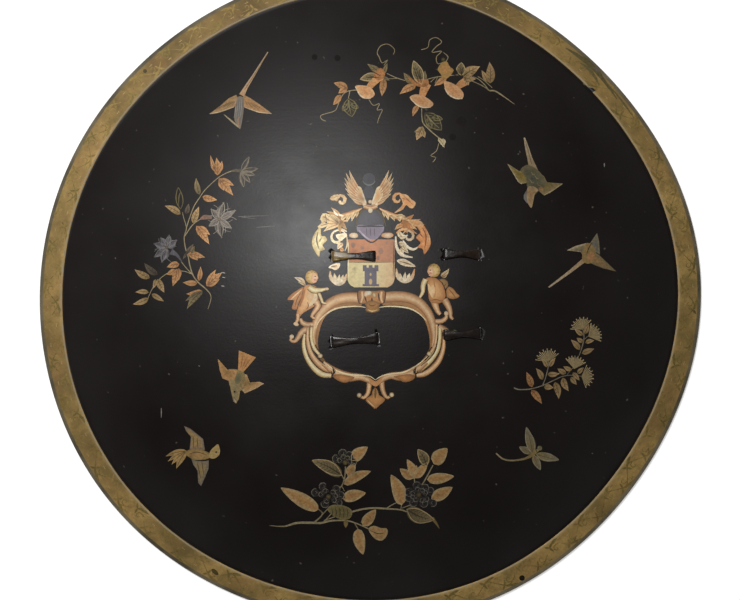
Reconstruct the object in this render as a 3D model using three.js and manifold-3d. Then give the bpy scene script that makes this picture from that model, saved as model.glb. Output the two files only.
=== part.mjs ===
// Lacquered round shield: a domed hide shell with a broad flat border, four leather thongs that
// pass through pairs of slits and show on the face, and two leather hand grips looped over the
// thongs inside. Millimetres, +Z up. The shield lies face up on the underside of its rim, and the
// origin is at the bottom centre of the box around it.

import * as THREE from 'three';
import { mergeVertices } from 'three/addons/utils/BufferGeometryUtils.js';
import Module from 'manifold-3d';

const wasm = await Module();
wasm.setup();

// Shell: driving dimensions
const FACE_DIAMETER = 600;
const DOME_RISE = 80;
const HIDE_THICKNESS = 5;
const BORDER_WIDTH = 21.6;
const BORDER_SLOPE_DEG = 16;
const BORDER_RELIEF = 0.6;
const BORDER_STEP_WIDTH = 1.6;
const EDGE_THICKNESS = 5.5;
const EDGE_ROUNDING = 2.5;
const FOOT_WIDTH = 4.5;
const FOOT_ROUNDING = 1.4;
const FOOT_TOE_RUN = 3;

// Hand-shaped hide is never truly round: waves of the outline, each so many to the turn, with a
// height in mm and the direction of one crest in degrees from +X
const OUTLINE_WAVES = [
  { count: 1, height: 0.53, crestDeg: -63.3 },
  { count: 2, height: 1.62, crestDeg: 15.7 },
  { count: 3, height: 0.93, crestDeg: -19.1 },
  { count: 4, height: 1.26, crestDeg: 4.3 },
  { count: 5, height: 1.11, crestDeg: 5.5 },
];

// Thongs: the strip is flat where it passes the slits, drawn in to a rounder waist on the face,
// and rolled to a round bar inside
const THONG_WIDTH = 9.6;
const THONG_THICKNESS = 2.2;
const THONG_WAIST_WIDTH = 5;
const THONG_WAIST_THICKNESS = 3.2;
const THONG_LIFT = 0.5;
const BAR_DIAMETER = 4.5;
const BAR_BEND = 3;
const SLIT_CLEARANCE = 0.4;
const SQUARE_CORNER = 0.6;

// Places of the thongs on the face, from the middle of the shield, and the length that shows
const THONGS = {
  thong_upper_left: { x: -12.8, y: 35.0, span: 39, tiltDeg: 0 },
  thong_lower_left: { x: -11.9, y: -38.8, span: 42.4, tiltDeg: 4.7 },
  thong_upper_right: { x: 82.2, y: 36.8, span: 33, tiltDeg: 0 },
  thong_lower_right: { x: 82.9, y: -33.6, span: 34.5, tiltDeg: 1.5 },
};

// Hand grips
const GRIPS = {
  grip_left: { upper: 'thong_upper_left', lower: 'thong_lower_left' },
  grip_right: { upper: 'thong_upper_right', lower: 'thong_lower_right' },
};
const GRIP_THICKNESS = 3;
const GRIP_LAP = 18;
const GRIP_BULGE = 28;
const GRIP_WAIST_DRAW = 3;
const GRIP_SIDE_CLEARANCE = 2.4;
const EYELET_CLEARANCE = 0.35;
const EYELET_HIDE_GAP = 1.4;

// Fineness of the faceted surfaces
const TURN_STEPS = 72;
const DOME_RINGS = 15;
const INNER_RINGS = 10;
const ROUND_STEPS = 3;

// Sizes that follow from those above
const faceRadius = FACE_DIAMETER / 2;
const borderInnerRadius = faceRadius - BORDER_WIDTH;
const borderSlope = THREE.MathUtils.degToRad(BORDER_SLOPE_DEG);
const edgeTopRadius = faceRadius - EDGE_ROUNDING;
const domeRadius = (borderInnerRadius ** 2 + DOME_RISE ** 2) / (2 * DOME_RISE);
const domeFootZ = borderTopZ(borderInnerRadius) - BORDER_RELIEF;
const domeCentreZ = domeFootZ + DOME_RISE - domeRadius;
const barRadius = BAR_DIAMETER / 2;
const eyeletRadius = barRadius + EYELET_CLEARANCE;
const eyeletOuterRadius = eyeletRadius + GRIP_THICKNESS;
const barDepth = HIDE_THICKNESS + EYELET_HIDE_GAP + eyeletOuterRadius;

function borderTopZ(radius) {
  return EDGE_THICKNESS + Math.tan(borderSlope) * (edgeTopRadius - radius);
}

function outlineScale(angle) {
  let scale = 1;
  for (const wave of OUTLINE_WAVES) {
    const crest = THREE.MathUtils.degToRad(wave.crestDeg);
    scale += (wave.height / faceRadius) * Math.cos(wave.count * (angle - crest));
  }
  return scale;
}

// Height of the painted face of the dome above the resting plane, at a place on it
function faceHeight(x, y) {
  const radius = Math.hypot(x, y) / outlineScale(Math.atan2(y, x));
  return domeCentreZ + Math.sqrt(domeRadius ** 2 - radius ** 2);
}

// Closed meshes and solids

function closedMesh(geometry) {
  const bare = geometry.clone();
  bare.deleteAttribute('normal');
  bare.deleteAttribute('uv');
  const merged = mergeVertices(bare, 1e-4);
  const kept = [];
  const index = merged.index.array;
  for (let i = 0; i < index.length; i += 3) {
    const [a, b, c] = index.slice(i, i + 3);
    if (a !== b && b !== c && c !== a) {
      kept.push(a, b, c);
    }
  }
  merged.setIndex(kept);
  return merged;
}

function toSolid(geometry) {
  const mesh = closedMesh(geometry);
  return new wasm.Manifold(new wasm.Mesh({
    numProp: 3,
    vertProperties: new Float32Array(mesh.attributes.position.array),
    triVerts: new Uint32Array(mesh.index.array),
  }));
}

function toGeometry(solid) {
  const mesh = solid.getMesh();
  const geometry = new THREE.BufferGeometry();
  geometry.setAttribute('position', new THREE.BufferAttribute(mesh.vertProperties, 3));
  geometry.setIndex(new THREE.BufferAttribute(mesh.triVerts, 1));
  geometry.computeVertexNormals();
  return geometry;
}

// Shell

function shellSection() {
  const points = [];
  const add = (radius, z) => points.push(new THREE.Vector2(radius, z));
  const arc = (radius, z, size, fromDeg, toDeg) => {
    for (let i = 0; i <= ROUND_STEPS; i += 1) {
      const angle = THREE.MathUtils.degToRad(fromDeg + ((toDeg - fromDeg) * i) / ROUND_STEPS);
      add(radius + size * Math.cos(angle), z + size * Math.sin(angle));
    }
  };

  const domeEdgeAngle = Math.asin(borderInnerRadius / domeRadius);
  for (let i = 0; i <= DOME_RINGS; i += 1) {
    const angle = (domeEdgeAngle * i) / DOME_RINGS;
    add(domeRadius * Math.sin(angle), domeCentreZ + domeRadius * Math.cos(angle));
  }
  const stepRadius = borderInnerRadius + BORDER_STEP_WIDTH;
  add(stepRadius, borderTopZ(stepRadius));
  arc(edgeTopRadius, EDGE_THICKNESS - EDGE_ROUNDING, EDGE_ROUNDING, 90 - BORDER_SLOPE_DEG, 0);
  arc(faceRadius - FOOT_ROUNDING, FOOT_ROUNDING, FOOT_ROUNDING, 0, -90);

  const footInnerRadius = faceRadius - FOOT_ROUNDING - FOOT_WIDTH;
  const toeRadius = footInnerRadius - FOOT_TOE_RUN;
  const borderDepth = BORDER_RELIEF + HIDE_THICKNESS / Math.cos(borderSlope);
  add(footInnerRadius, 0);
  add(toeRadius, borderTopZ(toeRadius) - borderDepth);

  const innerRadius = domeRadius - HIDE_THICKNESS;
  const cornerHalfBend = (domeEdgeAngle - borderSlope) / 2;
  const cornerLean = (domeEdgeAngle + borderSlope) / 2;
  const cornerDepth = HIDE_THICKNESS / Math.cos(cornerHalfBend);
  const innerCornerRadius = borderInnerRadius - cornerDepth * Math.sin(cornerLean);
  const innerEdgeAngle = Math.asin(innerCornerRadius / innerRadius);
  for (let i = INNER_RINGS; i >= 0; i -= 1) {
    const angle = (innerEdgeAngle * i) / INNER_RINGS;
    add(innerRadius * Math.sin(angle), domeCentreZ + innerRadius * Math.cos(angle));
  }
  points[0].x = 0;
  points[points.length - 1].x = 0;
  return points.reverse();
}

function roundShell() {
  const geometry = new THREE.LatheGeometry(shellSection(), TURN_STEPS);
  geometry.rotateX(Math.PI / 2);
  const place = geometry.attributes.position;
  for (let i = 0; i < place.count; i += 1) {
    const scale = outlineScale(Math.atan2(place.getY(i), place.getX(i)));
    place.setX(i, place.getX(i) * scale);
    place.setY(i, place.getY(i) * scale);
  }
  return geometry;
}

// Frame of a thong: its place on the face, u along the strip, v across it, n out of the face
function thongFrame(thong) {
  const step = 1;
  const slopeX = (faceHeight(thong.x + step, thong.y) - faceHeight(thong.x - step, thong.y)) / 2;
  const slopeY = (faceHeight(thong.x, thong.y + step) - faceHeight(thong.x, thong.y - step)) / 2;
  const n = new THREE.Vector3(-slopeX / step, -slopeY / step, 1).normalize();
  const tilt = THREE.MathUtils.degToRad(thong.tiltDeg);
  const v = new THREE.Vector3()
    .crossVectors(n, new THREE.Vector3(Math.cos(tilt), Math.sin(tilt), 0))
    .normalize();
  const u = new THREE.Vector3().crossVectors(v, n);
  const centre = new THREE.Vector3(thong.x, thong.y, faceHeight(thong.x, thong.y));
  return new THREE.Matrix4().makeBasis(u, v, n).setPosition(centre);
}

function legOffset(thong) {
  return thong.span / 2 - THONG_THICKNESS / 2;
}

// Slit: the thong's flat section with clearance all round, driven through the hide along n
function slitCutter(thong, side) {
  const halfLength = THONG_WIDTH / 2 + SLIT_CLEARANCE;
  const halfGap = THONG_THICKNESS / 2 + SLIT_CLEARANCE;
  const outline = new THREE.Shape();
  const flat = halfLength - halfGap;
  outline.moveTo(halfGap, -flat);
  outline.lineTo(halfGap, flat);
  outline.absarc(0, flat, halfGap, 0, Math.PI, false);
  outline.lineTo(-halfGap, -flat);
  outline.absarc(0, -flat, halfGap, Math.PI, 2 * Math.PI, false);
  const reach = HIDE_THICKNESS;
  const depth = HIDE_THICKNESS + 2 * reach;
  const geometry = new THREE.ExtrudeGeometry(outline, { depth, bevelEnabled: false, curveSegments: 4 });
  geometry.translate(side * legOffset(thong), 0, -HIDE_THICKNESS - reach);
  geometry.applyMatrix4(thongFrame(thong));
  return geometry;
}

function shieldBody() {
  let solid = toSolid(roundShell());
  for (const thong of Object.values(THONGS)) {
    for (const side of [-1, 1]) {
      solid = solid.subtract(toSolid(slitCutter(thong, side)));
    }
  }
  return toGeometry(solid);
}

// Thongs

// Stations round one thong, in its own u and n, each with the strip's width and thickness there.
// The strip turns down above the face, so that it goes through its slit quite straight.
function thongStations(thong) {
  const leg = legOffset(thong);
  const faceBend = THONG_LIFT + THONG_THICKNESS / 2;
  const faceEnd = leg - faceBend;
  const barEnd = leg - BAR_BEND;
  const stations = [];
  const mix = THREE.MathUtils.lerp;
  const add = (u, n, width, thickness, corner) => stations.push({ u, n, width, thickness, corner });
  const flat = (u, n) => add(u, n, THONG_WIDTH, THONG_THICKNESS, SQUARE_CORNER);
  const bar = (u, n) => add(u, n, BAR_DIAMETER, BAR_DIAMETER, 1);
  const domeDrop = (u) => domeRadius - Math.sqrt(domeRadius ** 2 - u ** 2);

  const faceSteps = 10;
  for (let i = 0; i <= faceSteps; i += 1) {
    const share = i / faceSteps;
    const u = mix(-faceEnd, faceEnd, share);
    const drawn = Math.sin(Math.PI * share) ** 0.8;
    const width = mix(THONG_WIDTH, THONG_WAIST_WIDTH, drawn);
    const thickness = mix(THONG_THICKNESS, THONG_WAIST_THICKNESS, drawn);
    add(u, THONG_LIFT + thickness / 2 - domeDrop(u), width, thickness, SQUARE_CORNER);
  }
  const faceBendN = -domeDrop(faceEnd);
  const barBendN = BAR_BEND - barDepth;
  const diagonal = Math.SQRT1_2;
  flat(faceEnd + faceBend * diagonal, faceBendN + faceBend * diagonal);
  flat(leg, faceBendN);
  flat(leg, barBendN);
  bar(barEnd + BAR_BEND * diagonal, barBendN - BAR_BEND * diagonal);
  bar(barEnd, -barDepth);
  bar(0, -barDepth);
  bar(-barEnd, -barDepth);
  bar(-barEnd - BAR_BEND * diagonal, barBendN - BAR_BEND * diagonal);
  flat(-leg, barBendN);
  flat(-leg, faceBendN);
  flat(-faceEnd - faceBend * diagonal, faceBendN + faceBend * diagonal);
  return stations;
}

// One closed ring of strip swept round its stations. The section is an oval whose corner power
// makes it a rounded oblong below one and a true round at one.
function thongRing(thong) {
  const sides = 10;
  const stations = thongStations(thong);
  const count = stations.length;
  const positions = [];
  for (let i = 0; i < count; i += 1) {
    const before = stations[(i + count - 1) % count];
    const after = stations[(i + 1) % count];
    const here = stations[i];
    const along = new THREE.Vector2(after.u - before.u, after.n - before.n).normalize();
    for (let k = 0; k < sides; k += 1) {
      const angle = (2 * Math.PI * (k + 0.5)) / sides;
      const across = Math.sign(Math.cos(angle)) * Math.abs(Math.cos(angle)) ** here.corner;
      const out = Math.sign(Math.sin(angle)) * Math.abs(Math.sin(angle)) ** here.corner;
      const rise = (out * here.thickness) / 2;
      positions.push(here.u - along.y * rise, (across * here.width) / 2, here.n + along.x * rise);
    }
  }
  const index = [];
  for (let i = 0; i < count; i += 1) {
    const next = (i + 1) % count;
    for (let k = 0; k < sides; k += 1) {
      const turn = (k + 1) % sides;
      const a = i * sides + k;
      const b = i * sides + turn;
      const c = next * sides + turn;
      const d = next * sides + k;
      index.push(a, b, c, a, c, d);
    }
  }
  const geometry = new THREE.BufferGeometry();
  geometry.setAttribute('position', new THREE.Float32BufferAttribute(positions, 3));
  geometry.setIndex(index);
  geometry.applyMatrix4(thongFrame(thong));
  geometry.computeVertexNormals();
  return geometry;
}

// Hand grips

function barCentre(thong) {
  return new THREE.Vector3(0, 0, -barDepth).applyMatrix4(thongFrame(thong));
}

// Frame of a bar: w along it, d along the strap towards the other bar, n inwards from the hide;
// w runs one way on an upper bar and the other way on a lower one, as d does
function barFrame(thong, towards, way) {
  const centre = barCentre(thong);
  const w = new THREE.Vector3().setFromMatrixColumn(thongFrame(thong), 0).multiplyScalar(way);
  const chord = towards.clone().sub(centre);
  const d = chord.addScaledVector(w, -chord.dot(w)).normalize();
  const n = new THREE.Vector3().crossVectors(w, d).normalize();
  return new THREE.Matrix4().makeBasis(w, d, n).setPosition(centre);
}

function gripWidth(grip) {
  const span = Math.min(THONGS[grip.upper].span, THONGS[grip.lower].span);
  return span - THONG_THICKNESS - 2 * BAR_BEND - 2 * GRIP_SIDE_CLEARANCE;
}

// Side outline of a grip: a slack bow between two eyelets, doubled where each end laps back
function gripOutline(length) {
  const lean = 0.22;
  const pull = GRIP_BULGE / 0.75;
  const bow = new THREE.CubicBezierCurve(
    new THREE.Vector2(0, 0),
    new THREE.Vector2(lean * length, pull),
    new THREE.Vector2((1 - lean) * length, pull),
    new THREE.Vector2(length, 0),
  );
  const bowLength = bow.getLength();
  const neck = Math.sqrt(eyeletOuterRadius ** 2 - GRIP_THICKNESS ** 2);
  const bowSteps = 14;
  const upperSide = [];
  const lowerSide = [];
  for (let i = 0; i <= bowSteps; i += 1) {
    const run = THREE.MathUtils.lerp(neck, bowLength - neck, i / bowSteps);
    const share = run / bowLength;
    const point = bow.getPointAt(share);
    const along = bow.getTangentAt(share);
    const fromEnd = Math.min(run, bowLength - run);
    const lapped = 1 - THREE.MathUtils.smoothstep(fromEnd, GRIP_LAP, GRIP_LAP + 2 * GRIP_THICKNESS);
    const half = (GRIP_THICKNESS / 2) * (1 + lapped);
    upperSide.push(new THREE.Vector2(point.x + along.y * half, point.y - along.x * half));
    lowerSide.push(new THREE.Vector2(point.x - along.y * half, point.y + along.x * half));
  }
  const eyeletArc = (centre, from, to) => {
    const start = Math.atan2(from.y - centre.y, from.x - centre.x);
    let end = Math.atan2(to.y - centre.y, to.x - centre.x);
    if (end > start) {
      end -= 2 * Math.PI;
    }
    const arcSteps = 9;
    const points = [];
    for (let i = 1; i < arcSteps; i += 1) {
      const angle = THREE.MathUtils.lerp(start, end, i / arcSteps);
      points.push(new THREE.Vector2(
        centre.x + eyeletOuterRadius * Math.cos(angle),
        centre.y + eyeletOuterRadius * Math.sin(angle),
      ));
    }
    return points;
  };
  const first = new THREE.Vector2(0, 0);
  const last = new THREE.Vector2(length, 0);
  lowerSide.reverse();
  const backToBow = eyeletArc(first, upperSide[0], lowerSide[lowerSide.length - 1]).reverse();
  const overEnd = eyeletArc(last, lowerSide[0], upperSide[upperSide.length - 1]).reverse();
  const outline = new THREE.Shape([...upperSide, ...overEnd, ...lowerSide, ...backToBow]);
  for (const centre of [first, last]) {
    const hole = new THREE.Path();
    hole.absarc(centre.x, centre.y, eyeletRadius, 0, 2 * Math.PI, true);
    outline.holes.push(hole);
  }
  return outline;
}

function gripStrap(grip) {
  const upper = THONGS[grip.upper];
  const lower = THONGS[grip.lower];
  const upperCentre = barCentre(upper);
  const lowerCentre = barCentre(lower);
  const length = upperCentre.distanceTo(lowerCentre);
  const fromUpper = barFrame(upper, lowerCentre, 1);
  const fromLower = barFrame(lower, upperCentre, -1);
  const width = gripWidth(grip);
  const geometry = new THREE.ExtrudeGeometry(gripOutline(length), {
    depth: width,
    steps: 2,
    bevelEnabled: false,
    curveSegments: 6,
  });
  const place = geometry.attributes.position;
  const nearUpper = new THREE.Vector3();
  const nearLower = new THREE.Vector3();
  for (let i = 0; i < place.count; i += 1) {
    const run = place.getX(i);
    const depth = place.getY(i);
    const middle = Math.sin(Math.PI * THREE.MathUtils.clamp(run / length, 0, 1)) ** 2;
    const draw = 1 - (GRIP_WAIST_DRAW / width) * middle;
    const across = (place.getZ(i) - width / 2) * draw;
    nearUpper.set(across, run, depth).applyMatrix4(fromUpper);
    nearLower.set(-across, length - run, depth).applyMatrix4(fromLower);
    nearUpper.lerp(nearLower, THREE.MathUtils.smoothstep(run, 0.15 * length, 0.85 * length));
    place.setXYZ(i, nearUpper.x, nearUpper.y, nearUpper.z);
  }
  geometry.computeVertexNormals();
  return geometry;
}

// The whole shield

const blackLacquer = { color: 0x1b1717, roughness: 0.4, metalness: 0 };
const darkLeather = { color: 0x2a221d, roughness: 0.6, metalness: 0 };

function namedMesh(name, geometry, finish) {
  const mesh = new THREE.Mesh(closedMesh(geometry), new THREE.MeshStandardMaterial(finish));
  mesh.geometry.computeVertexNormals();
  mesh.name = name;
  return mesh;
}

const shield = new THREE.Group();
const body = namedMesh('shield_body', shieldBody(), blackLacquer);
shield.add(body);
for (const [name, thong] of Object.entries(THONGS)) {
  shield.add(namedMesh(name, thongRing(thong), darkLeather));
}
for (const [name, grip] of Object.entries(GRIPS)) {
  shield.add(namedMesh(name, gripStrap(grip), darkLeather));
}

body.geometry.computeBoundingBox();
const boxCentre = body.geometry.boundingBox.getCenter(new THREE.Vector3());
shield.position.set(-boxCentre.x, -boxCentre.y, 0);
shield.updateMatrixWorld(true);

export default shield;
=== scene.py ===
"""Lacquered round shield: the looks of a domed hide shield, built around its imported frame.

Sizes are in millimetres, from the middle of the shield: +X to the right, +Y to the top of the
painted arms, +Z out of the face. A piece turns to metres when it is finished. The painting is
made of thin films that lie on the face, with their colours at their own vertices. Places in the
painting are where they are seen in the photograph, in pixels of its 740 x 600 frame, and on_face
turns such a place into millimetres on the dome. Lines and outlines stand in whole tenths of a
pixel, which path makes into places. Widths and radii in the painting are in pixels too.
"""

import math
import random

import bmesh
import bpy
from bpy.props import FloatProperty, FloatVectorProperty, IntProperty, PointerProperty
from mathutils import Matrix, Vector


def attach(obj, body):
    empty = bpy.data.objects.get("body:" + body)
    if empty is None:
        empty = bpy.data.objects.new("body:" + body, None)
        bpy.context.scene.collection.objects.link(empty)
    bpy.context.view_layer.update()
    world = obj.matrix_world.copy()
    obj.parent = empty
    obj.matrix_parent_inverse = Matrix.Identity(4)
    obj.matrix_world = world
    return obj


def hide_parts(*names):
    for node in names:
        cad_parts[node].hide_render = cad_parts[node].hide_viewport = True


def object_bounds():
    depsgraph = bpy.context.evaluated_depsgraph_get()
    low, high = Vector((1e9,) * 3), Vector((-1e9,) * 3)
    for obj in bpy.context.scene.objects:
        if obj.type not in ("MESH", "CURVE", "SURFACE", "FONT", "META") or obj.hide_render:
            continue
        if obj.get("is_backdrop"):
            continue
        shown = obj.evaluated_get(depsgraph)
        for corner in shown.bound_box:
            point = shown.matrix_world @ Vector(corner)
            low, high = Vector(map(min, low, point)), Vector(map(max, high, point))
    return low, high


bl_info = {
    "name": "Lacquered Round Shield",
    "version": (1, 0, 0),
    "blender": (4, 5, 0),
    "location": "View3D > Sidebar > Shield",
    "description": "Builds a painted and gilded hide shield around its fixed frame",
    "category": "Object",
}

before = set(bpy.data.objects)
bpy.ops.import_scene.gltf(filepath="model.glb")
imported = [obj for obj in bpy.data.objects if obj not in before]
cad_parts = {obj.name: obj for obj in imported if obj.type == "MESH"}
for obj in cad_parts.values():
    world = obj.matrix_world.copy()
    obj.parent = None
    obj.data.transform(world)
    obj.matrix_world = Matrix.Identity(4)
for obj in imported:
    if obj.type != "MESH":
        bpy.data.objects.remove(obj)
CAD_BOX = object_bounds()
MM = 0.001

# Shell, as in the frame
FACE_RADIUS = 300.0
DOME_RISE = 80.0
HIDE_THICKNESS = 5.0
BORDER_WIDTH = 21.6
BORDER_SLOPE = math.radians(16)
BORDER_RELIEF = 0.6
BORDER_STEP_WIDTH = 1.6
BORDER_MIDDLE = 288.5
# the pale line of painted highlight on the border's step lies this far inside the border's inner edge
BORDER_HIGHLIGHT_INSET = 1.3
EDGE_THICKNESS = 5.5
EDGE_ROUNDING = 2.5
RUBBED_WIDTH = 1.1
FOOT_WIDTH = 4.5
FOOT_ROUNDING = 1.4
FOOT_TOE_RUN = 3.0

# Waves of the outline: how many to the turn, height, and the direction of a crest in degrees
OUTLINE_WAVES = (
    (1, 0.53, -63.3),
    (2, 1.62, 15.7),
    (3, 0.93, -19.1),
    (4, 1.26, 4.3),
    (5, 1.11, 5.5),
)

# Thongs: place on the face, length that shows, and tilt in degrees
THONGS = {
    "thong_upper_left": (-12.8, 35.0, 39.0, 0.0),
    "thong_lower_left": (-11.9, -38.8, 42.4, 4.7),
    "thong_upper_right": (82.2, 36.8, 33.0, 0.0),
    "thong_lower_right": (82.9, -33.6, 34.5, 1.5),
}
PAINTED_THONG = "thong_upper_left"
PAINTED_THONG_END = (-22.0, -16.0)
THONG_WIDTH = 9.6
THONG_THICKNESS = 2.2
THONG_WAIST_WIDTH = 5.0
THONG_WAIST_THICKNESS = 3.2
THONG_LIFT = 0.5
BAR_DIAMETER = 4.5
BAR_BEND = 3.0
SLIT_CLEARANCE = 0.4
SQUARE_CORNER = 0.6

# Grips: the thongs that each one joins
GRIPS = {
    "grip_left": ("thong_upper_left", "thong_lower_left"),
    "grip_right": ("thong_upper_right", "thong_lower_right"),
}
GRIP_THICKNESS = 3.0
GRIP_LAP = 18.0
GRIP_BULGE = 28.0
GRIP_WAIST_DRAW = 3.0
GRIP_SIDE_CLEARANCE = 2.4
EYELET_CLEARANCE = 0.35
EYELET_HIDE_GAP = 1.4
LAP_STATIONS = (15, 12, 9)
STITCH_MARGIN = 3.0
STITCH_START = 7.0
STITCH_SHARE = 0.72

# Sizes that follow from those above
BORDER_INNER = FACE_RADIUS - BORDER_WIDTH
EDGE_TOP = FACE_RADIUS - EDGE_ROUNDING
DOME_RADIUS = (BORDER_INNER ** 2 + DOME_RISE ** 2) / (2 * DOME_RISE)
DOME_FOOT_Z = EDGE_THICKNESS + math.tan(BORDER_SLOPE) * (EDGE_TOP - BORDER_INNER) - BORDER_RELIEF
DOME_CENTRE_Z = DOME_FOOT_Z + DOME_RISE - DOME_RADIUS
EYELET_OUTER = BAR_DIAMETER / 2 + EYELET_CLEARANCE + GRIP_THICKNESS
BAR_DEPTH = HIDE_THICKNESS + EYELET_HIDE_GAP + EYELET_OUTER

# Camera: a long lens straight above the face, as near as the picture's perspective asks
PICTURE_SIZE = (740, 600)
CAMERA_HEIGHT = 2260.0
CAMERA_AIM = (1.4, -3.6)
CAMERA_LENS = 120.0
CAMERA_SENSOR = 36.0
FILL_PLACE = Vector((-0.8, 1.8, 2.1))
FILL_SIZE = 1.4
FLOOR_REACH = 6.0


def linear(hex_colour):
    """An sRGB hex colour as linear red, green and blue."""
    channels = [int(hex_colour[i:i + 2], 16) / 255 for i in (1, 3, 5)]
    return tuple(c / 12.92 if c <= 0.04045 else ((c + 0.055) / 1.055) ** 2.4 for c in channels)


def mix(a, b, share):
    return a + (b - a) * share


def between(a, b, share):
    """The place or the colour that lies between two others."""
    return tuple(mix(p, q, share) for p, q in zip(a, b))


def smooth(share):
    share = min(max(share, 0.0), 1.0)
    return share * share * (3 - 2 * share)


def polar(centre, reach, angle):
    """The place at a distance and a direction from another."""
    return centre[0] + reach * math.cos(angle), centre[1] + reach * math.sin(angle)


# Properties


def size_property(name, description, default, low, high):
    """A length, from millimetres."""
    return FloatProperty(
        name=name, description=description, default=default * MM, min=low * MM, max=high * MM,
        unit="LENGTH", precision=5,
    )


def colour_property(name, description, hex_colour):
    return FloatVectorProperty(
        name=name, description=description, default=linear(hex_colour), size=3, min=0.0, max=1.0,
        subtype="COLOR",
    )


def stage_property(name, description, default, low, high, **kind):
    return FloatProperty(name=name, description=description, default=default, min=low, max=high, **kind)


class ShieldSizes(bpy.types.PropertyGroup):
    """Sizes of what is added to the frame's own sizes"""

    turn_steps: IntProperty(
        name="Turn steps", description="Steps of the shell's surface round its axis",
        default=256, min=72, max=512,
    )
    ring_step: size_property("Ring step", "Distance between the rings of the dome", 4.0, 1.0, 20.0)
    film_lift: size_property("Film lift", "Height of the lowest film above the lacquer", 0.08, 0.01, 1.0)
    film_step: size_property("Film step", "Rise from one layer of paint to the next", 0.03, 0.005, 0.5)
    film_thickness: size_property("Film thickness", "Thickness of a film, mostly sunk", 0.3, 0.02, 1.0)
    stitch_pitch: size_property("Stitch pitch", "Distance from stitch to stitch", 4.2, 1.0, 20.0)
    thread_diameter: size_property("Thread diameter", "Thickness of the linen thread", 0.9, 0.2, 3.0)


class ShieldColours(bpy.types.PropertyGroup):
    """Colours of the lacquers, the leather and the thread"""

    lacquer: colour_property("Black lacquer", "Ground of the face and the inner side", "#110907")
    gilding: colour_property("Border gold", "Gold lacquer of the border", "#CBA862")
    gilding_worn: colour_property("Worn gold", "Thin and dirty places of the border", "#7A6638")
    thong: colour_property("Thong leather", "Dark polished leather of the thongs", "#1E1714")
    grip: colour_property("Grip leather", "Brown leather of the grips", "#3A241A")
    thread: colour_property("Thread", "Waxed linen thread of the grips", "#8E7B5A")
    floor: colour_property("Floor", "Pale ground under the shield", "#F4F4F2")


class ShieldStage(bpy.types.PropertyGroup):
    """Camera and lights"""

    key_power: stage_property(
        "Key light", "Power of the soft lamp above the face", 43.0, 0.0, 1000.0, unit="POWER",
    )
    key_lean: stage_property(
        "Key lean", "How far the key light stands off the vertical",
        math.radians(21), 0.0, math.radians(80), subtype="ANGLE",
    )
    key_turn: stage_property(
        "Key turn", "Direction of the key light, from +X towards +Y",
        math.radians(127), 0.0, math.radians(360), subtype="ANGLE",
    )
    key_distance: stage_property(
        "Key distance", "From the face to the key light", 2.6, 0.5, 10.0, unit="LENGTH",
    )
    key_size: stage_property("Key size", "Diameter of the key light", 0.8, 0.05, 5.0, unit="LENGTH")
    fill_power: stage_property(
        "Fill light", "Power of the wide lamp beyond the top of the face", 6.5, 0.0, 1000.0, unit="POWER",
    )
    room_light: stage_property("Room light", "Strength of the even light from all round", 0.04, 0.0, 5.0)


# The face as a surface


def outline_scale(angle):
    scale = 1.0
    for count, height, crest in OUTLINE_WAVES:
        scale += height / FACE_RADIUS * math.cos(count * (angle - math.radians(crest)))
    return scale


def frame_middle(turn_steps=72):
    """Where the middle of the shield lies in the frame, whose origin is under its box's centre."""
    angles = [2 * math.pi * i / turn_steps for i in range(turn_steps)]
    xs, ys = zip(*(polar((0, 0), FACE_RADIUS * outline_scale(a), a) for a in angles))
    return -(max(xs) + min(xs)) / 2, -(max(ys) + min(ys)) / 2


MIDDLE = frame_middle()


def border_top(radius):
    return EDGE_THICKNESS + math.tan(BORDER_SLOPE) * (EDGE_TOP - radius)


def round_radius(x, y):
    """Distance from the middle that a point would have on a truly round shield."""
    return math.hypot(x, y) / outline_scale(math.atan2(y, x))


def face_height(x, y):
    """Height of the face above the resting plane."""
    radius = round_radius(x, y)
    if radius <= BORDER_INNER:
        return DOME_CENTRE_Z + math.sqrt(DOME_RADIUS ** 2 - radius ** 2)
    step = min((radius - BORDER_INNER) / BORDER_STEP_WIDTH, 1)
    return border_top(radius) - BORDER_RELIEF * (1 - step)


def face_normal(x, y, reach=1.0):
    slope_x = (face_height(x + reach, y) - face_height(x - reach, y)) / (2 * reach)
    slope_y = (face_height(x, y + reach) - face_height(x, y - reach)) / (2 * reach)
    return Vector((-slope_x, -slope_y, 1)).normalized()


def on_face(place):
    """The point of the face, in millimetres, that is seen at a pixel of the picture."""
    x, y = 0.0, 0.0
    for _ in range(3):
        pixel = CAMERA_SENSOR / CAMERA_LENS * (CAMERA_HEIGHT - face_height(x, y)) / PICTURE_SIZE[0]
        x = CAMERA_AIM[0] + (place[0] - PICTURE_SIZE[0] / 2) * pixel
        y = CAMERA_AIM[1] - (place[1] - PICTURE_SIZE[1] / 2) * pixel
    return x, y


def on_border(place):
    """The point at a distance along the border's middle line, and one outwards from the line."""
    angle = place[0] / BORDER_MIDDLE
    radius = (BORDER_MIDDLE + place[1]) * outline_scale(angle)
    return polar((0, 0), radius, angle)


# Pieces


def settings():
    scene = bpy.context.scene
    return scene.shield_sizes, scene.shield_colours


def mesh_object(name, bm):
    """An object in the frame's metres, from a mesh in millimetres round the shield's middle."""
    place = Matrix.Scale(MM, 4) @ Matrix.Translation((*MIDDLE, 0))
    bmesh.ops.transform(bm, matrix=place, verts=bm.verts)
    mesh = bpy.data.meshes.new(name)
    bm.to_mesh(mesh)
    bm.free()
    made = bpy.data.objects.new(name, mesh)
    bpy.context.scene.collection.objects.link(made)
    return made


def finish_piece(name, bm, materials, replaced=(), shade_smooth=True):
    """Turns a mesh in millimetres into a piece of the shield."""
    piece = mesh_object(name, bm)
    for material in materials:
        piece.data.materials.append(material)
    for polygon in piece.data.polygons:
        polygon.use_smooth = shade_smooth
    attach(piece, "root")
    if replaced:
        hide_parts(*replaced)
    return piece


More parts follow.
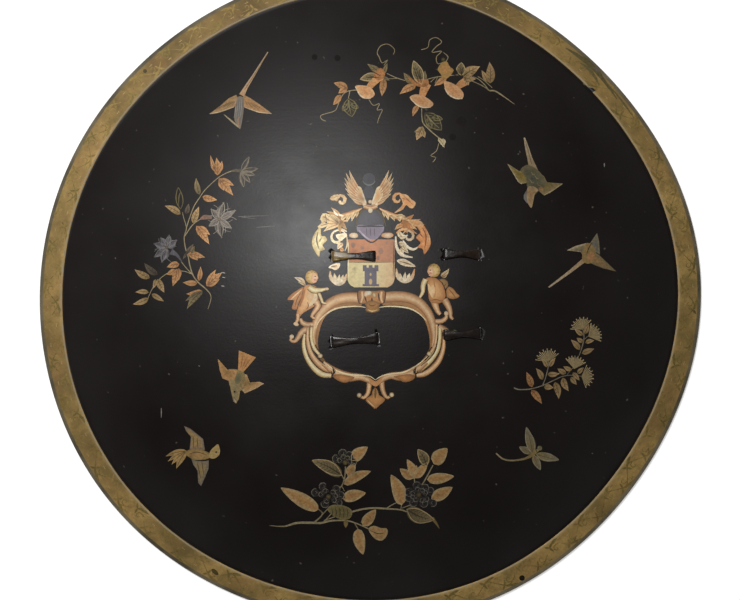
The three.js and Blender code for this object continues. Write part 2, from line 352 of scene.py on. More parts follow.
def ring_loop(bm, points):
    """A closed loop of edges through the points."""
    circle = bmesh.ops.create_circle(bm, segments=len(points), radius=1)["verts"]
    for vert, point in zip(circle, points):
        vert.co = point
    return circle


def sweep(bm, rings, closed):
    """Skin through rings of points, joined in a circle or closed at both ends."""
    first = ring_loop(bm, rings[0])
    edges = list({edge for vert in first for edge in vert.link_edges})
    if not closed:
        bmesh.ops.contextual_create(bm, geom=edges)
    start_edges = edges
    current = first
    for ring in rings[1:]:
        made = bmesh.ops.extrude_edge_only(bm, edges=edges)["geom"]
        edges = [item for item in made if isinstance(item, bmesh.types.BMEdge)]
        fresh = {vert for edge in edges for vert in edge.verts}
        following = []
        for vert in current:
            across = [edge.other_vert(vert) for edge in vert.link_edges]
            following.append(next(other for other in across if other in fresh))
        for vert, point in zip(following, ring):
            vert.co = point
        current = following
    if closed:
        bmesh.ops.bridge_loops(bm, edges=start_edges + edges)
    else:
        bmesh.ops.contextual_create(bm, geom=edges)
    bmesh.ops.recalc_face_normals(bm, faces=bm.faces)


def rounded(share, power):
    return math.copysign(abs(share) ** power, share)


# Shell


def arc_points(radius, z, size, start, end, steps):
    angles = [math.radians(mix(start, end, i / steps)) for i in range(steps + 1)]
    return [polar((radius, z), size, a) for a in angles]


def border_profile():
    """The border's section, from the foot of the dome to the outermost point of the edge."""
    rise = 4
    points = []
    for i in range(rise + 1):
        radius = BORDER_INNER + BORDER_STEP_WIDTH * i / rise
        points.append((radius, border_top(radius) - BORDER_RELIEF * (1 - i / rise)))
    inner = BORDER_INNER + BORDER_STEP_WIDTH
    rings = 6
    for i in range(1, rings):
        radius = mix(inner, EDGE_TOP, i / rings)
        points.append((radius, border_top(radius)))
    points.append((EDGE_TOP - RUBBED_WIDTH, border_top(EDGE_TOP - RUBBED_WIDTH)))
    slope = math.degrees(BORDER_SLOPE)
    edge_z = EDGE_THICKNESS - EDGE_ROUNDING
    return points + arc_points(EDGE_TOP, edge_z, EDGE_ROUNDING, 90 - slope, 0, 8)


def shell_profile(ring_step):
    """Section of the shell, from its top over the edge and the foot to the top of the inside."""
    edge_angle = math.asin(BORDER_INNER / DOME_RADIUS)
    rings = round(BORDER_INNER / ring_step)
    angles = [edge_angle * i / rings for i in range(rings)]
    points = [(DOME_RADIUS * math.sin(a), DOME_CENTRE_Z + DOME_RADIUS * math.cos(a)) for a in angles]
    points += border_profile()
    points += arc_points(FACE_RADIUS - FOOT_ROUNDING, FOOT_ROUNDING, FOOT_ROUNDING, 0, -90, 5)
    foot_inner = FACE_RADIUS - FOOT_ROUNDING - FOOT_WIDTH
    toe = foot_inner - FOOT_TOE_RUN
    border_depth = BORDER_RELIEF + HIDE_THICKNESS / math.cos(BORDER_SLOPE)
    points.append((foot_inner, 0))
    points.append((toe, border_top(toe) - border_depth))
    inner_radius = DOME_RADIUS - HIDE_THICKNESS
    corner_depth = HIDE_THICKNESS / math.cos((edge_angle - BORDER_SLOPE) / 2)
    corner = BORDER_INNER - corner_depth * math.sin((edge_angle + BORDER_SLOPE) / 2)
    inner_edge = math.asin(corner / inner_radius)
    inner_rings = round(corner / (2 * ring_step))
    for i in range(inner_rings, -1, -1):
        angle = inner_edge * i / inner_rings
        points.append((inner_radius * math.sin(angle), DOME_CENTRE_Z + inner_radius * math.cos(angle)))
    return points


def spin_profile(bm, points, closed, turn_steps):
    """Turns a section round the shield's axis and gives it the outline's waves."""
    verts = [bm.verts.new((radius, 0, z)) for radius, z in points]
    pairs = list(zip(verts, verts[1:] + verts[:1])) if closed else list(zip(verts, verts[1:]))
    edges = [bm.edges.new(pair) for pair in pairs]
    bmesh.ops.spin(
        bm, geom=verts + edges, axis=(0, 0, 1), cent=(0, 0, 0),
        angle=2 * math.pi, steps=turn_steps, use_merge=True,
    )
    bmesh.ops.remove_doubles(bm, verts=bm.verts, dist=0.001)
    bmesh.ops.recalc_face_normals(bm, faces=bm.faces)
    for vert in bm.verts:
        scale = outline_scale(math.atan2(vert.co.y, vert.co.x))
        vert.co.x *= scale
        vert.co.y *= scale


def thong_frame(thong):
    """Axes of a thong at its place on the face: along it, across it, and out of the face."""
    x, y, span, tilt = thong
    n = face_normal(x, y)
    run = Vector((math.cos(math.radians(tilt)), math.sin(math.radians(tilt)), 0))
    v = n.cross(run).normalized()
    u = v.cross(n)
    axes = Matrix((u, v, n)).transposed().to_4x4()
    return Matrix.Translation((x, y, face_height(x, y))) @ axes


def leg_offset(thong):
    return thong[2] / 2 - THONG_THICKNESS / 2


def slit_cutters():
    """A long rounded peg for each slit that a thong goes through."""
    bm = bmesh.new()
    half_length = THONG_WIDTH / 2 + SLIT_CLEARANCE
    half_gap = THONG_THICKNESS / 2 + SLIT_CLEARANCE
    depth = 2 * HIDE_THICKNESS
    for thong in THONGS.values():
        for side in (-1, 1):
            loop = bmesh.ops.create_circle(bm, cap_ends=True, segments=20, radius=half_gap)["verts"]
            for vert in loop:
                vert.co.x += side * leg_offset(thong)
                vert.co.y += math.copysign(half_length - half_gap, vert.co.y)
                vert.co.z = -depth
            faces = list({face for vert in loop for face in vert.link_faces})
            made = bmesh.ops.extrude_face_region(bm, geom=faces, use_keep_orig=True)["geom"]
            fresh = [item for item in made if isinstance(item, bmesh.types.BMVert)]
            bmesh.ops.translate(bm, verts=fresh, vec=(0, 0, 2 * depth))
            bmesh.ops.transform(bm, matrix=thong_frame(thong), verts=loop + fresh)
    bmesh.ops.recalc_face_normals(bm, faces=bm.faces)
    return mesh_object("slit_cutters", bm)


def cut_slits(shell):
    whole = len(shell.data.polygons)
    cutters = slit_cutters()
    cut = shell.modifiers.new("Slits", "BOOLEAN")
    cut.operation = "DIFFERENCE"
    cut.solver = "EXACT"
    cut.object = cutters
    with bpy.context.temp_override(object=shell, active_object=shell, selected_objects=[shell]):
        bpy.ops.object.modifier_apply(modifier=cut.name)
    bpy.data.objects.remove(cutters)
    if len(shell.data.polygons) <= whole:
        raise RuntimeError("the slits could not be cut in the shell")


# Thongs


def thong_stations(thong):
    """Stations round a thong: along, out, width, thickness, and the section's corner power."""
    leg = leg_offset(thong)
    bend = THONG_LIFT + THONG_THICKNESS / 2
    face_end = leg - bend
    bar_end = leg - BAR_BEND
    stations = []

    def dome_drop(u):
        return DOME_RADIUS - math.sqrt(DOME_RADIUS ** 2 - u ** 2)

    face_steps = 24
    for i in range(face_steps + 1):
        share = i / face_steps
        u = mix(-face_end, face_end, share)
        drawn = max(math.sin(math.pi * share), 0) ** 1.3
        width = mix(THONG_WIDTH, THONG_WAIST_WIDTH, drawn)
        thickness = mix(THONG_THICKNESS, THONG_WAIST_THICKNESS, drawn)
        n = THONG_LIFT + thickness / 2 - dome_drop(u)
        stations.append((u, n, width, thickness, SQUARE_CORNER))
    top = -dome_drop(face_end)
    low = BAR_BEND - BAR_DEPTH
    right = []
    for i in range(1, 5):
        angle = math.pi / 2 * i / 4
        place = (face_end + bend * math.sin(angle), top + bend * math.cos(angle))
        right.append((*place, THONG_WIDTH, THONG_THICKNESS, SQUARE_CORNER))
    right.append((leg, low, THONG_WIDTH, THONG_THICKNESS, SQUARE_CORNER))
    for i in range(1, 5):
        angle = math.pi / 2 * i / 4
        share = i / 4
        place = (bar_end + BAR_BEND * math.cos(angle), low - BAR_BEND * math.sin(angle))
        width = mix(THONG_WIDTH, BAR_DIAMETER, smooth(share * 2))
        thickness = mix(THONG_THICKNESS, BAR_DIAMETER, smooth(share * 2))
        right.append((*place, width, thickness, mix(SQUARE_CORNER, 1, smooth(share * 2))))
    left = [(-u, n, width, thickness, corner) for u, n, width, thickness, corner in reversed(right)]
    return stations + right + [(0, -BAR_DEPTH, BAR_DIAMETER, BAR_DIAMETER, 1)] + left


def thong_rings(thong, crease, sides=28):
    """Rings of points round a thong, with shallow creases that run along the leather."""
    stations = thong_stations(thong)
    count = len(stations)
    matrix = thong_frame(thong)
    rings = []
    for i, (u, n, width, thickness, corner) in enumerate(stations):
        before, after = stations[i - 1], stations[(i + 1) % count]
        along = Vector((after[0] - before[0], after[1] - before[1])).normalized()
        ring = []
        for k in range(sides):
            angle = 2 * math.pi * (k + 0.5) / sides
            across = rounded(math.cos(angle), corner) * width / 2
            rise = rounded(math.sin(angle), corner) * thickness / 2
            fold = 0.12 * math.sin(across * 2.6 + crease + u * 0.05)
            rise += fold * max(math.sin(angle), 0) if corner < 1 else 0
            ring.append(matrix @ Vector((u - along.y * rise, across, n + along.x * rise)))
        rings.append(ring)
    return rings


# Grips


def bar_centre(thong):
    return thong_frame(thong) @ Vector((0, 0, -BAR_DEPTH))


def bar_axes(thong, towards, way):
    """Axes at a bar: along it, along the strap towards the other bar, and in from the hide."""
    centre = bar_centre(thong)
    w = (thong_frame(thong).to_3x3() @ Vector((1, 0, 0))) * way
    chord = towards - centre
    d = (chord - w * chord.dot(w)).normalized()
    return centre, w, d, w.cross(d).normalized()


def bow_curve(length, steps=160):
    """The slack bow of a grip, as evenly spaced points with their directions."""
    pull = GRIP_BULGE / 0.75
    corners = [Vector(p) for p in ((0, 0), (0.22 * length, pull), (0.78 * length, pull), (length, 0))]
    fine = []
    for i in range(steps * 4 + 1):
        t = i / (steps * 4)
        weights = ((1 - t) ** 3, 3 * t * (1 - t) ** 2, 3 * t * t * (1 - t), t ** 3)
        point = Vector((0, 0))
        for weight, corner in zip(weights, corners):
            point += corner * weight
        fine.append(point)
    runs = [0.0]
    for a, b in zip(fine, fine[1:]):
        runs.append(runs[-1] + (b - a).length)

    def at(run):
        run = min(max(run, 0.0), runs[-1])
        i = max(1, next(i for i, r in enumerate(runs) if r >= run))
        share = (run - runs[i - 1]) / (runs[i] - runs[i - 1])
        return fine[i - 1].lerp(fine[i], share), (fine[i] - fine[i - 1]).normalized()

    return at, runs[-1]


def grip_path(length):
    """Middle line of the strip: a free end, round one bar, over the bow, round the other, and back."""
    at, bow = bow_curve(length)
    half = GRIP_THICKNESS / 2
    turn = EYELET_OUTER - half
    reach = math.sqrt(turn ** 2 - half ** 2) + 1.2

    def beside(run, offset):
        point, along = at(run)
        return point + Vector((-along.y, along.x)) * offset

    first = []
    for run in (GRIP_LAP, *LAP_STATIONS, reach):
        first.append(beside(run, half))
    _, along = at(0.5)
    lean = math.atan2(along.y, along.x)
    open_angle = math.asin(half / turn)
    for i in range(1, 12):
        angle = lean + mix(open_angle, 2 * math.pi - open_angle, i / 12)
        first.append(Vector((math.cos(angle), math.sin(angle))) * turn)
    for run in (reach, *reversed(LAP_STATIONS), GRIP_LAP):
        first.append(beside(run, -half))
    last = [Vector((length - p.x, p.y)) for p in reversed(first)]
    middle = []
    steps = 14
    blend = 2 * GRIP_THICKNESS
    start = GRIP_LAP + 3
    for i in range(steps + 1):
        run = mix(start, bow - start, i / steps)
        gone = min(run, bow - run) - GRIP_LAP
        middle.append(beside(run, -half * (1 - smooth(gone / blend))))
    return first + middle + last


def grip_place(grip, length):
    """How a point of a grip, as run, depth and across, lies in space."""
    upper, lower = (THONGS[name] for name in GRIPS[grip])
    top = bar_axes(upper, bar_centre(lower), 1)
    foot = bar_axes(lower, bar_centre(upper), -1)

    def place(run, depth, across):
        near = top[0] + top[1] * across + top[2] * run + top[3] * depth
        far = foot[0] - foot[1] * across + foot[2] * (length - run) + foot[3] * depth
        share = smooth((run / length - 0.15) / 0.7)
        return near.lerp(far, share)

    return place


def grip_length(grip):
    upper, lower = (THONGS[name] for name in GRIPS[grip])
    return (bar_centre(upper) - bar_centre(lower)).length


def grip_width(grip):
    span = min(THONGS[name][2] for name in GRIPS[grip])
    return span - THONG_THICKNESS - 2 * BAR_BEND - 2 * GRIP_SIDE_CLEARANCE


def grip_rings(grip, sides=24):
    length = grip_length(grip)
    place = grip_place(grip, length)
    line = grip_path(length)
    rings = []
    for i, point in enumerate(line):
        before, after = line[max(i - 1, 0)], line[min(i + 1, len(line) - 1)]
        along = (after - before).normalized()
        out = Vector((-along.y, along.x))
        mid = math.sin(math.pi * min(max(point.x / length, 0), 1))
        width = grip_width(grip) - 2 * GRIP_WAIST_DRAW * mid
        tip = min(i, len(line) - 1 - i)
        thickness = GRIP_THICKNESS * (0.45 if tip == 0 else 0.8 if tip == 1 else 0.97)
        ring = []
        for k in range(sides):
            angle = 2 * math.pi * (k + 0.5) / sides
            across = rounded(math.cos(angle), 0.3) * width / 2
            rise = rounded(math.sin(angle), 0.55) * thickness / 2
            spot = point + out * rise
            ring.append(place(spot.x, spot.y, across))
        rings.append(ring)
    return rings


def grip_stitches(bm, grip, sizes):
    """Short stitches along both margins of each lap, on its inner face."""
    length = grip_length(grip)
    place = grip_place(grip, length)
    at, _ = bow_curve(length)
    pitch = sizes.stitch_pitch / MM
    thread = sizes.thread_diameter / MM
    margin = grip_width(grip) / 2 - STITCH_MARGIN
    count = int((GRIP_LAP - 2 * STITCH_MARGIN) / pitch) + 1
    for end in (0, 1):
        for side in (-1, 1):
            for i in range(count):
                centre, along = at(STITCH_START + pitch * i)
                out = Vector((-along.y, along.x))
                ends = []
                for step in (-0.5, 0.5):
                    flat = centre + along * step * pitch * STITCH_SHARE + out * GRIP_THICKNESS * 1.02
                    along_run = length - flat.x if end else flat.x
                    ends.append(place(along_run, flat.y, side * margin))
                axis = ends[1] - ends[0]
                turn = axis.to_track_quat("X", "Z").to_matrix().to_4x4()
                matrix = Matrix.Translation((ends[0] + ends[1]) / 2) @ turn
                matrix = matrix @ Matrix.Diagonal((axis.length / 2, thread / 2, thread / 2, 1))
                bmesh.ops.create_uvsphere(bm, u_segments=10, v_segments=8, radius=1, matrix=matrix)


# Materials


def set_inputs(tree, node, inputs):
    """Gives the inputs of a node their values and their links."""
    for name, value in inputs.items():
        if isinstance(value, bpy.types.NodeSocket):
            tree.links.new(value, node.inputs[name])
        else:
            node.inputs[name].default_value = value


def add_node(tree, kind, inputs=None, **values):
    """A node with its settings and its inputs."""
    node = tree.nodes.new(kind)
    for name, value in values.items():
        setattr(node, name, value)
    set_inputs(tree, node, inputs or {})
    return node


def new_material(name):
    """An empty material with its tree, its shader and the piece's own coordinates."""
    material = bpy.data.materials.new(name)
    material.use_nodes = True
    tree = material.node_tree
    tree.nodes.clear()
    shader = add_node(tree, "ShaderNodeBsdfPrincipled")
    output = add_node(tree, "ShaderNodeOutputMaterial")
    tree.links.new(shader.outputs["BSDF"], output.inputs["Surface"])
    coordinates = add_node(tree, "ShaderNodeTexCoord").outputs["Object"]
    return material, tree, shader, coordinates


def rgba(colour):
    """Four channels for a socket, from a hex colour or from a linear one."""
    return (*(linear(colour) if isinstance(colour, str) else colour), 1.0)


def waves(millimetres):
    """Noise scale whose features are about so many millimetres wide, on coordinates in metres."""
    return 0.5 / (millimetres * MM)


def noise(tree, coordinates, size, detail=3.0, roughness=0.5):
    inputs = {"Vector": coordinates, "Scale": waves(size), "Detail": detail, "Roughness": roughness}
    return add_node(tree, "ShaderNodeTexNoise", inputs).outputs["Fac"]


def stretched(tree, coordinates, scale, turn=0.0):
    inputs = {"Vector": coordinates, "Scale": scale, "Rotation": (0, 0, turn)}
    return add_node(tree, "ShaderNodeMapping", inputs).outputs["Vector"]


def ramp(tree, value, low, high, out_low=0.0, out_high=1.0):
    inputs = {
        "Value": value, "From Min": low, "From Max": high, "To Min": out_low, "To Max": out_high,
    }
    return add_node(tree, "ShaderNodeMapRange", inputs).outputs["Result"]


def colour_mix(tree, share, a, b, blend="MIX"):
    node = add_node(tree, "ShaderNodeMix", {0: share, 6: a, 7: b}, data_type="RGBA", blend_type=blend)
    return node.outputs[2]


def math_node(tree, operation, *values):
    return add_node(tree, "ShaderNodeMath", dict(enumerate(values)), operation=operation).outputs[0]


def bump(tree, height, depth):
    """Bump whose full height is so many millimetres."""
    inputs = {"Height": height, "Distance": depth * MM, "Strength": 1.0}
    return add_node(tree, "ShaderNodeBump", inputs).outputs["Normal"]


def lacquer_material(colours):
    """Black urushi lacquer on hide: nearly black, rubbed to a half gloss, with dust and scuffs."""
    material, tree, shader, coordinates = new_material("black_lacquer")
    ground = rgba(colours.lacquer)
    paler = rgba(between(colours.lacquer, linear("#2E2926"), 0.5))
    cloud = ramp(tree, noise(tree, coordinates, 60, 4), 0.42, 0.7, 0.0, 0.3)
    colour = colour_mix(tree, cloud, ground, paler)
    grain = noise(tree, coordinates, 1.1, 3, 0.6)
    speck = ramp(tree, noise(tree, coordinates, 2.4, 1), 0.76, 0.82)
    colour = colour_mix(tree, speck, colour, rgba("#59524A"))
    streak = noise(tree, stretched(tree, coordinates, (0.12, 1, 1), 0.04), 2.6, 2)
    scuff = noise(tree, stretched(tree, coordinates, (0.05, 1.6, 1), 0.5), 3.0, 2)
    rough = ramp(tree, noise(tree, coordinates, 34, 5, 0.6), 0.3, 0.7, 0.38, 0.5)
    fine = math_node(tree, "MULTIPLY_ADD", streak, 0.35, grain)
    height = math_node(tree, "MULTIPLY_ADD", scuff, 0.5, fine)
    normal = bump(tree, height, 0.075)
    set_inputs(tree, shader, {"Base Color": colour, "Roughness": rough, "IOR": 1.5, "Normal": normal})
    return material


def gilding_material(colours):
    """Gold powder in lacquer, laid on the border by hand and darkened by age and handling, with painted
    shade towards the top.
    """
    material, tree, shader, coordinates = new_material("border_gold")
    gold, worn = rgba(colours.gilding), rgba(colours.gilding_worn)
    cloud = ramp(tree, noise(tree, coordinates, 34, 5, 0.65), 0.36, 0.62)
    colour = colour_mix(tree, cloud, gold, worn)
    reddish = ramp(tree, noise(tree, coordinates, 15, 4, 0.6), 0.5, 0.7, 0.0, 0.45)
    colour = colour_mix(tree, reddish, colour, rgba("#A67C4A"))
    olive = ramp(tree, noise(tree, coordinates, 7, 4, 0.65), 0.5, 0.66, 0.0, 0.55)
    colour = colour_mix(tree, olive, colour, rgba("#6E6432"))
    # painted shade: the gold is darkened towards the top of the shield, where the lamps light the border
    # most
    up = add_node(tree, "ShaderNodeSeparateXYZ", {"Vector": coordinates}).outputs["Y"]
    top_painted_shade = ramp(tree, up, 0.12, 0.26)
    colour = colour_mix(tree, top_painted_shade, colour, rgba("#D4D2CC"), "MULTIPLY")
    powder = ramp(tree, noise(tree, coordinates, 1.2, 2, 0.7), 0.3, 0.75, 0.0, 0.5)
    colour = colour_mix(tree, powder, colour, rgba("#8A6A3C"))
    rough = ramp(tree, noise(tree, coordinates, 8, 3), 0.3, 0.7, 0.54, 0.64)
    normal = bump(tree, noise(tree, coordinates, 1.0, 2), 0.1)
    set_inputs(tree, shader, {"Base Color": colour, "Roughness": rough, "Metallic": 0.25, "Normal": normal})
    return material


def rubbed_edge_material():
    """Bare lacquer and dirt on the rounded edge, where hands have rubbed the gold away."""
    material, tree, shader, coordinates = new_material("rubbed_edge")
    cloud = ramp(tree, noise(tree, coordinates, 18, 4, 0.6), 0.36, 0.66)
    colour = colour_mix(tree, cloud, rgba("#7B6F55"), rgba("#4D4532"))
    normal = bump(tree, noise(tree, coordinates, 1.4, 3), 0.12)
    set_inputs(tree, shader, {"Base Color": colour, "Roughness": 0.6, "Normal": normal})
    return material


# Paint by finish: name, how metallic, roughness, size in millimetres and depth of its powder
PAINT_LOOKS = (
    ("gold_powder", 0.45, 0.52, 1.1, 0.62),
    ("pigment_lacquer", 0.1, 0.5, 1.6, 0.8),
    ("line_lacquer", 0.0, 0.46, 2.0, 0.85),
    ("dulled_lacquer", 0.0, 0.95, 3.0, 0.8),
)


def paint_material(name, metallic, roughness, powder_size, powder_depth):
    """Paint whose colour is in the film's own vertices, with powder and brush marks over it."""
    material, tree, shader, coordinates = new_material(name)
    paint = add_node(tree, "ShaderNodeAttribute", attribute_name="paint").outputs["Color"]
    powder = ramp(tree, noise(tree, coordinates, powder_size, 2, 0.65), 0.32, 0.72, 0.0, 1.0)
    dark = colour_mix(tree, 1.0, paint, rgba((powder_depth,) * 3), "MULTIPLY")
    colour = colour_mix(tree, powder, dark, paint)
    worn = ramp(tree, noise(tree, coordinates, 5.5, 4, 0.6), 0.58, 0.76, 0.0, 0.5)
    colour = colour_mix(tree, worn, colour, rgba("#2A221B"))
    normal = bump(tree, noise(tree, coordinates, 0.9, 2), 0.08)
    look = {"Base Color": colour, "Roughness": roughness, "Metallic": metallic, "Normal": normal}
    set_inputs(tree, shader, look)
    return material


def paint_materials():
    """The four materials of the paint, in the order of the finishes, made once."""
    known = bpy.data.materials
    return [known.get(look[0]) or paint_material(*look) for look in PAINT_LOOKS]


def leather_material(name, colour, roughness, crease_size, painted_end=None):
    """Oiled and handled leather: dark, polished where it is rubbed, with fine creases.

    The gold of the painting runs on over a painted end, which fades out between two places
    across the face, in millimetres.
    """
    material, tree, shader, coordinates = new_material(name)
    worn = ramp(tree, noise(tree, coordinates, 9, 4, 0.6), 0.5, 0.75, 0.0, 0.6)
    paler = rgba(between(colour, linear("#7A5A3C"), 0.25))
    tint = colour_mix(tree, worn, rgba(colour), paler)
    if painted_end:
        across = add_node(tree, "ShaderNodeSeparateXYZ", {"Vector": coordinates}).outputs["X"]
        paint = ramp(tree, across, painted_end[0] * MM, painted_end[1] * MM, 1.0, 0.0)
        cover = ramp(tree, noise(tree, coordinates, 3, 3), 0.34, 0.5, 0.35, 0.9)
        share = math_node(tree, "MULTIPLY", paint, cover)
        tint = colour_mix(tree, share, tint, rgba("#8A7038"))
    rough = ramp(tree, noise(tree, coordinates, 5, 3), 0.3, 0.7, roughness - 0.06, roughness + 0.1)
    normal = bump(tree, noise(tree, coordinates, crease_size, 4, 0.6), 0.22)
    set_inputs(tree, shader, {"Base Color": tint, "Roughness": rough, "Normal": normal})
    return material


def thread_material(colours):
    """Waxed linen thread: matt and yellowed."""
    material, tree, shader, coordinates = new_material("linen_thread")
    twist = noise(tree, coordinates, 0.4, 2)
    pale, dark = rgba(colours.thread), rgba(between(colours.thread, (0.05, 0.04, 0.03), 0.6))
    tint = colour_mix(tree, ramp(tree, twist, 0.4, 0.6), dark, pale)
    set_inputs(tree, shader, {"Base Color": tint, "Roughness": 0.7})
    return material


# Paint


GOLD, PIGMENT, LINE, DULL = range(4)

# Films: how finely they follow the face in pixels, how nearly equal vertices join, how much the
# tone of one differs from the next, and the small rise that keeps films of one layer apart
STROKE_STEP = 2.6
RIM_STEP = 2.4
LEAF_STEP = 2.2
JOIN_REACH = 0.04
TONE_SPREAD = 0.1
FILM_RISE = 0.0012
FILM_RISES = 24


def spline(corners, t):
    """The point at t between the second and the third of four points on a smooth curve."""
    return tuple(
        0.5 * (2 * q + (r - p) * t + (2 * p - 5 * q + 4 * r - s) * t ** 2
               + (3 * q - p - 3 * r + s) * t ** 3)
        for p, q, r, s in zip(*corners)
    )


def curve_through(points, steps):
    """Evenly parted points of a smooth curve through the given ones."""
    if len(points) == 2:
        return [tuple(mix(a, b, i / steps) for a, b in zip(*points)) for i in range(steps + 1)]
    padded = [points[0], *points, points[-1]]
    made = []
    for i in range(steps + 1):
        place = i / steps * (len(points) - 1)
        k = min(int(place), len(points) - 2)
        made.append(spline(padded[k:k + 4], place - k))
    return made


def path(*tenths):
    """Places in the picture, from their x and y in whole tenths of a pixel."""
    return [(x / 10, y / 10) for x, y in zip(tenths[::2], tenths[1::2])]


def swollen(outline, middle, shares):
    """An outline drawn out from its middle by shares of its width and height, for a dark edge."""
    return [(x + (x - middle[0]) * shares[0], y + (y - middle[1]) * shares[1]) for x, y in outline]


def path_length(points):
    return sum(math.dist(a[:2], b[:2]) for a, b in zip(points, points[1:]))


class Painting:
    """Thin films of paint, gathered into one mesh; their places are pixels where on_face is the surface."""

    def __init__(self, name, seed, surface=on_face):
        self.name = name
        self.surface = surface
        self.bm = bmesh.new()
        self.paint = self.bm.verts.layers.float_color.new("paint")
        self.sizes = settings()[0]
        self.random = random.Random(seed)
        self.count = 0

    def film(self, steps, place, tint, layer, finish):
        """One film: place gives places on the surface, and tint a colour, over its u and v."""
        grid = bmesh.ops.create_grid(self.bm, x_segments=steps[0], y_segments=steps[1], size=1)
        lift = (self.sizes.film_lift + self.sizes.film_step * layer) / MM
        lift += FILM_RISE * (self.count % FILM_RISES)
        self.count += 1
        verts = grid["verts"]
        for vert in verts:
            u, v = (vert.co.x + 1) / 2, (vert.co.y + 1) / 2
            x, y = self.surface(place(u, v))
            vert.co = (x, y, face_height(x, y) + lift)
            vert[self.paint] = (*tint(u, v), 1)
        for face in {face for vert in verts for face in vert.link_faces}:
            face.material_index = finish
        bmesh.ops.remove_doubles(self.bm, verts=verts, dist=JOIN_REACH)

    def shade(self, colours, across=False):
        """A tint from one colour, or from several along u or across v, a little varied each time."""
        if isinstance(colours, str):
            colours = (colours,)
        lighter = 1 + self.random.uniform(-TONE_SPREAD, TONE_SPREAD)
        stops = [tuple(min(c * lighter, 1) for c in linear(h)) for h in colours]

        def tint(u, v):
            if len(stops) == 1:
                return stops[0]
            place = (v if across else u) * (len(stops) - 1)
            k = min(int(place), len(stops) - 2)
            return between(stops[k], stops[k + 1], place - k)

        return tint

    def stroke(self, points, widths, colours, layer=1, finish=GOLD, step=STROKE_STEP, across=False):
        """A brush stroke through the points; its widths are spread evenly along it."""
        if isinstance(widths, (int, float)):
            widths = (widths * 0.6, widths, widths * 0.3)
        steps = max(2, round(path_length(points) / step))
        line = curve_through(points, steps)
        spread = curve_through([(width, 0) for width in widths], steps)

        def place(u, v):
            i = round(u * steps)
            a, b = line[max(i - 1, 0)], line[min(i + 1, steps)]
            run = math.dist(a, b) or 1
            half = max(spread[i][0], 0) * (v - 0.5)
            return line[i][0] + (b[1] - a[1]) / run * half, line[i][1] - (b[0] - a[0]) / run * half

        self.film((steps, 6 if across else 2), place, self.shade(colours, across), layer, finish)

    def line(self, points, widths, colours, layer):
        """A stroke of drawing lacquer."""
        self.stroke(points, widths, colours, layer, LINE)

    def band(self, points, widths, colours, layer, finish=PIGMENT):
        """A stroke whose colours lie across it, so that it looks rounded."""
        self.stroke(points, widths, colours, layer, finish, across=True)

    def leaf(self, base, tip, width, colours, bend=0.0, vein="#241B12", layer=2, finish=GOLD, across=False):
        """A pointed leaf from base to tip, with a drawn vein."""
        run = math.dist(base, tip)
        steps = max(6, round(run / LEAF_STEP))
        along = ((tip[0] - base[0]) / run, (tip[1] - base[1]) / run)
        side = (-along[1], along[0])

        def spine(u):
            sway = bend * run * math.sin(math.pi * u)
            return (
                base[0] + along[0] * run * u + side[0] * sway,
                base[1] + along[1] * run * u + side[1] * sway,
            )

        def place(u, v):
            half = width / 2 * math.sin(math.pi * u ** 0.74) ** mix(0.6, 1.15, u) if 0 < u < 1 else 0
            x, y = spine(u)
            return x + side[0] * half * (2 * v - 1), y + side[1] * half * (2 * v - 1)

        self.film((steps, 4), place, self.shade(colours, across), layer, finish)
        if vein:
            middle = [spine(u) for u in (0.08, 0.35, 0.6, 0.86)]
            self.stroke(middle, (max(width * 0.11, 0.7), 0.3), vein, layer + 1, LINE, 3.5)

    def outline_leaf(self, base, tip, width, colour, layer=4, bend=0.0):
        """The two drawn sides of a leaf or petal."""
        run = math.dist(base, tip)
        side = ((base[1] - tip[1]) / run, (tip[0] - base[0]) / run)
        for way in (-1, 1):
            line = []
            for share, reach in ((0, 0), (0.25, 0.36), (0.55, 0.42), (0.85, 0.2), (1, 0)):
                x, y = between(base, tip, share)
                out = way * reach * width + bend * run * math.sin(math.pi * share)
                line.append((x + side[0] * out, y + side[1] * out))
            self.stroke(line, (0.5, 0.9, 0.5), colour, layer)

    def side_veins(self, base, tip, width, colour, layer=5):
        """Fine slanting veins on both halves of a leaf."""
        run = math.dist(base, tip)
        along = ((tip[0] - base[0]) / run, (tip[1] - base[1]) / run)
        for i in range(max(2, round(run / 6))):
            start = 0.16 + 0.6 * i / max(2, round(run / 6))
            for way in (-1, 1):
                reach = width * 0.32 * math.sin(math.pi * (start + 0.1))
                x, y = base[0] + along[0] * run * start, base[1] + along[1] * run * start
                end = (
                    x + along[0] * reach * 0.9 - along[1] * way * reach,
                    y + along[1] * reach * 0.9 + along[0] * way * reach,
                )
                self.stroke([(x, y), end], (0.3, 0.55, 0.25), colour, layer, LINE)

    def blob(self, outline, colours, layer=2, finish=GOLD, rings=3, centre=None, smooth_rim=True):
        """A filled shape from its middle to a closed outline, smooth or with straight sides."""
        steps = max(8, round(path_length([*outline, outline[0]]) / RIM_STEP))
        if not smooth_rim:
            steps = len(outline) * max(2, round(steps / len(outline)))
        middle = centre or tuple(sum(p[i] for p in outline) / len(outline) for i in (0, 1))
        closed = [outline[-1], *outline, outline[0], outline[1]]

        def rim(u):
            place = (u % 1) * len(outline)
            k = int(place)
            corners = closed[k:k + 4]
            return spline(corners, place - k) if smooth_rim else between(corners[1], corners[2], place - k)

        tint = self.shade(colours)

        def place(u, v):
            return between(middle, rim(u), v)

        self.film((steps, rings), place, lambda u, v: tint(v, u), layer, finish)

    def disc(self, centre, radii, colours, layer=2, finish=GOLD, turn=0.0, petals=0, depth=0.0):
        """A round or oval spot, or one with so many lobes of a depth."""
        steps = max(12, petals * 8)
        tint = self.shade(colours)
        rx, ry = radii if isinstance(radii, tuple) else (radii, radii)
        cos, sin = math.cos(math.radians(turn)), math.sin(math.radians(turn))

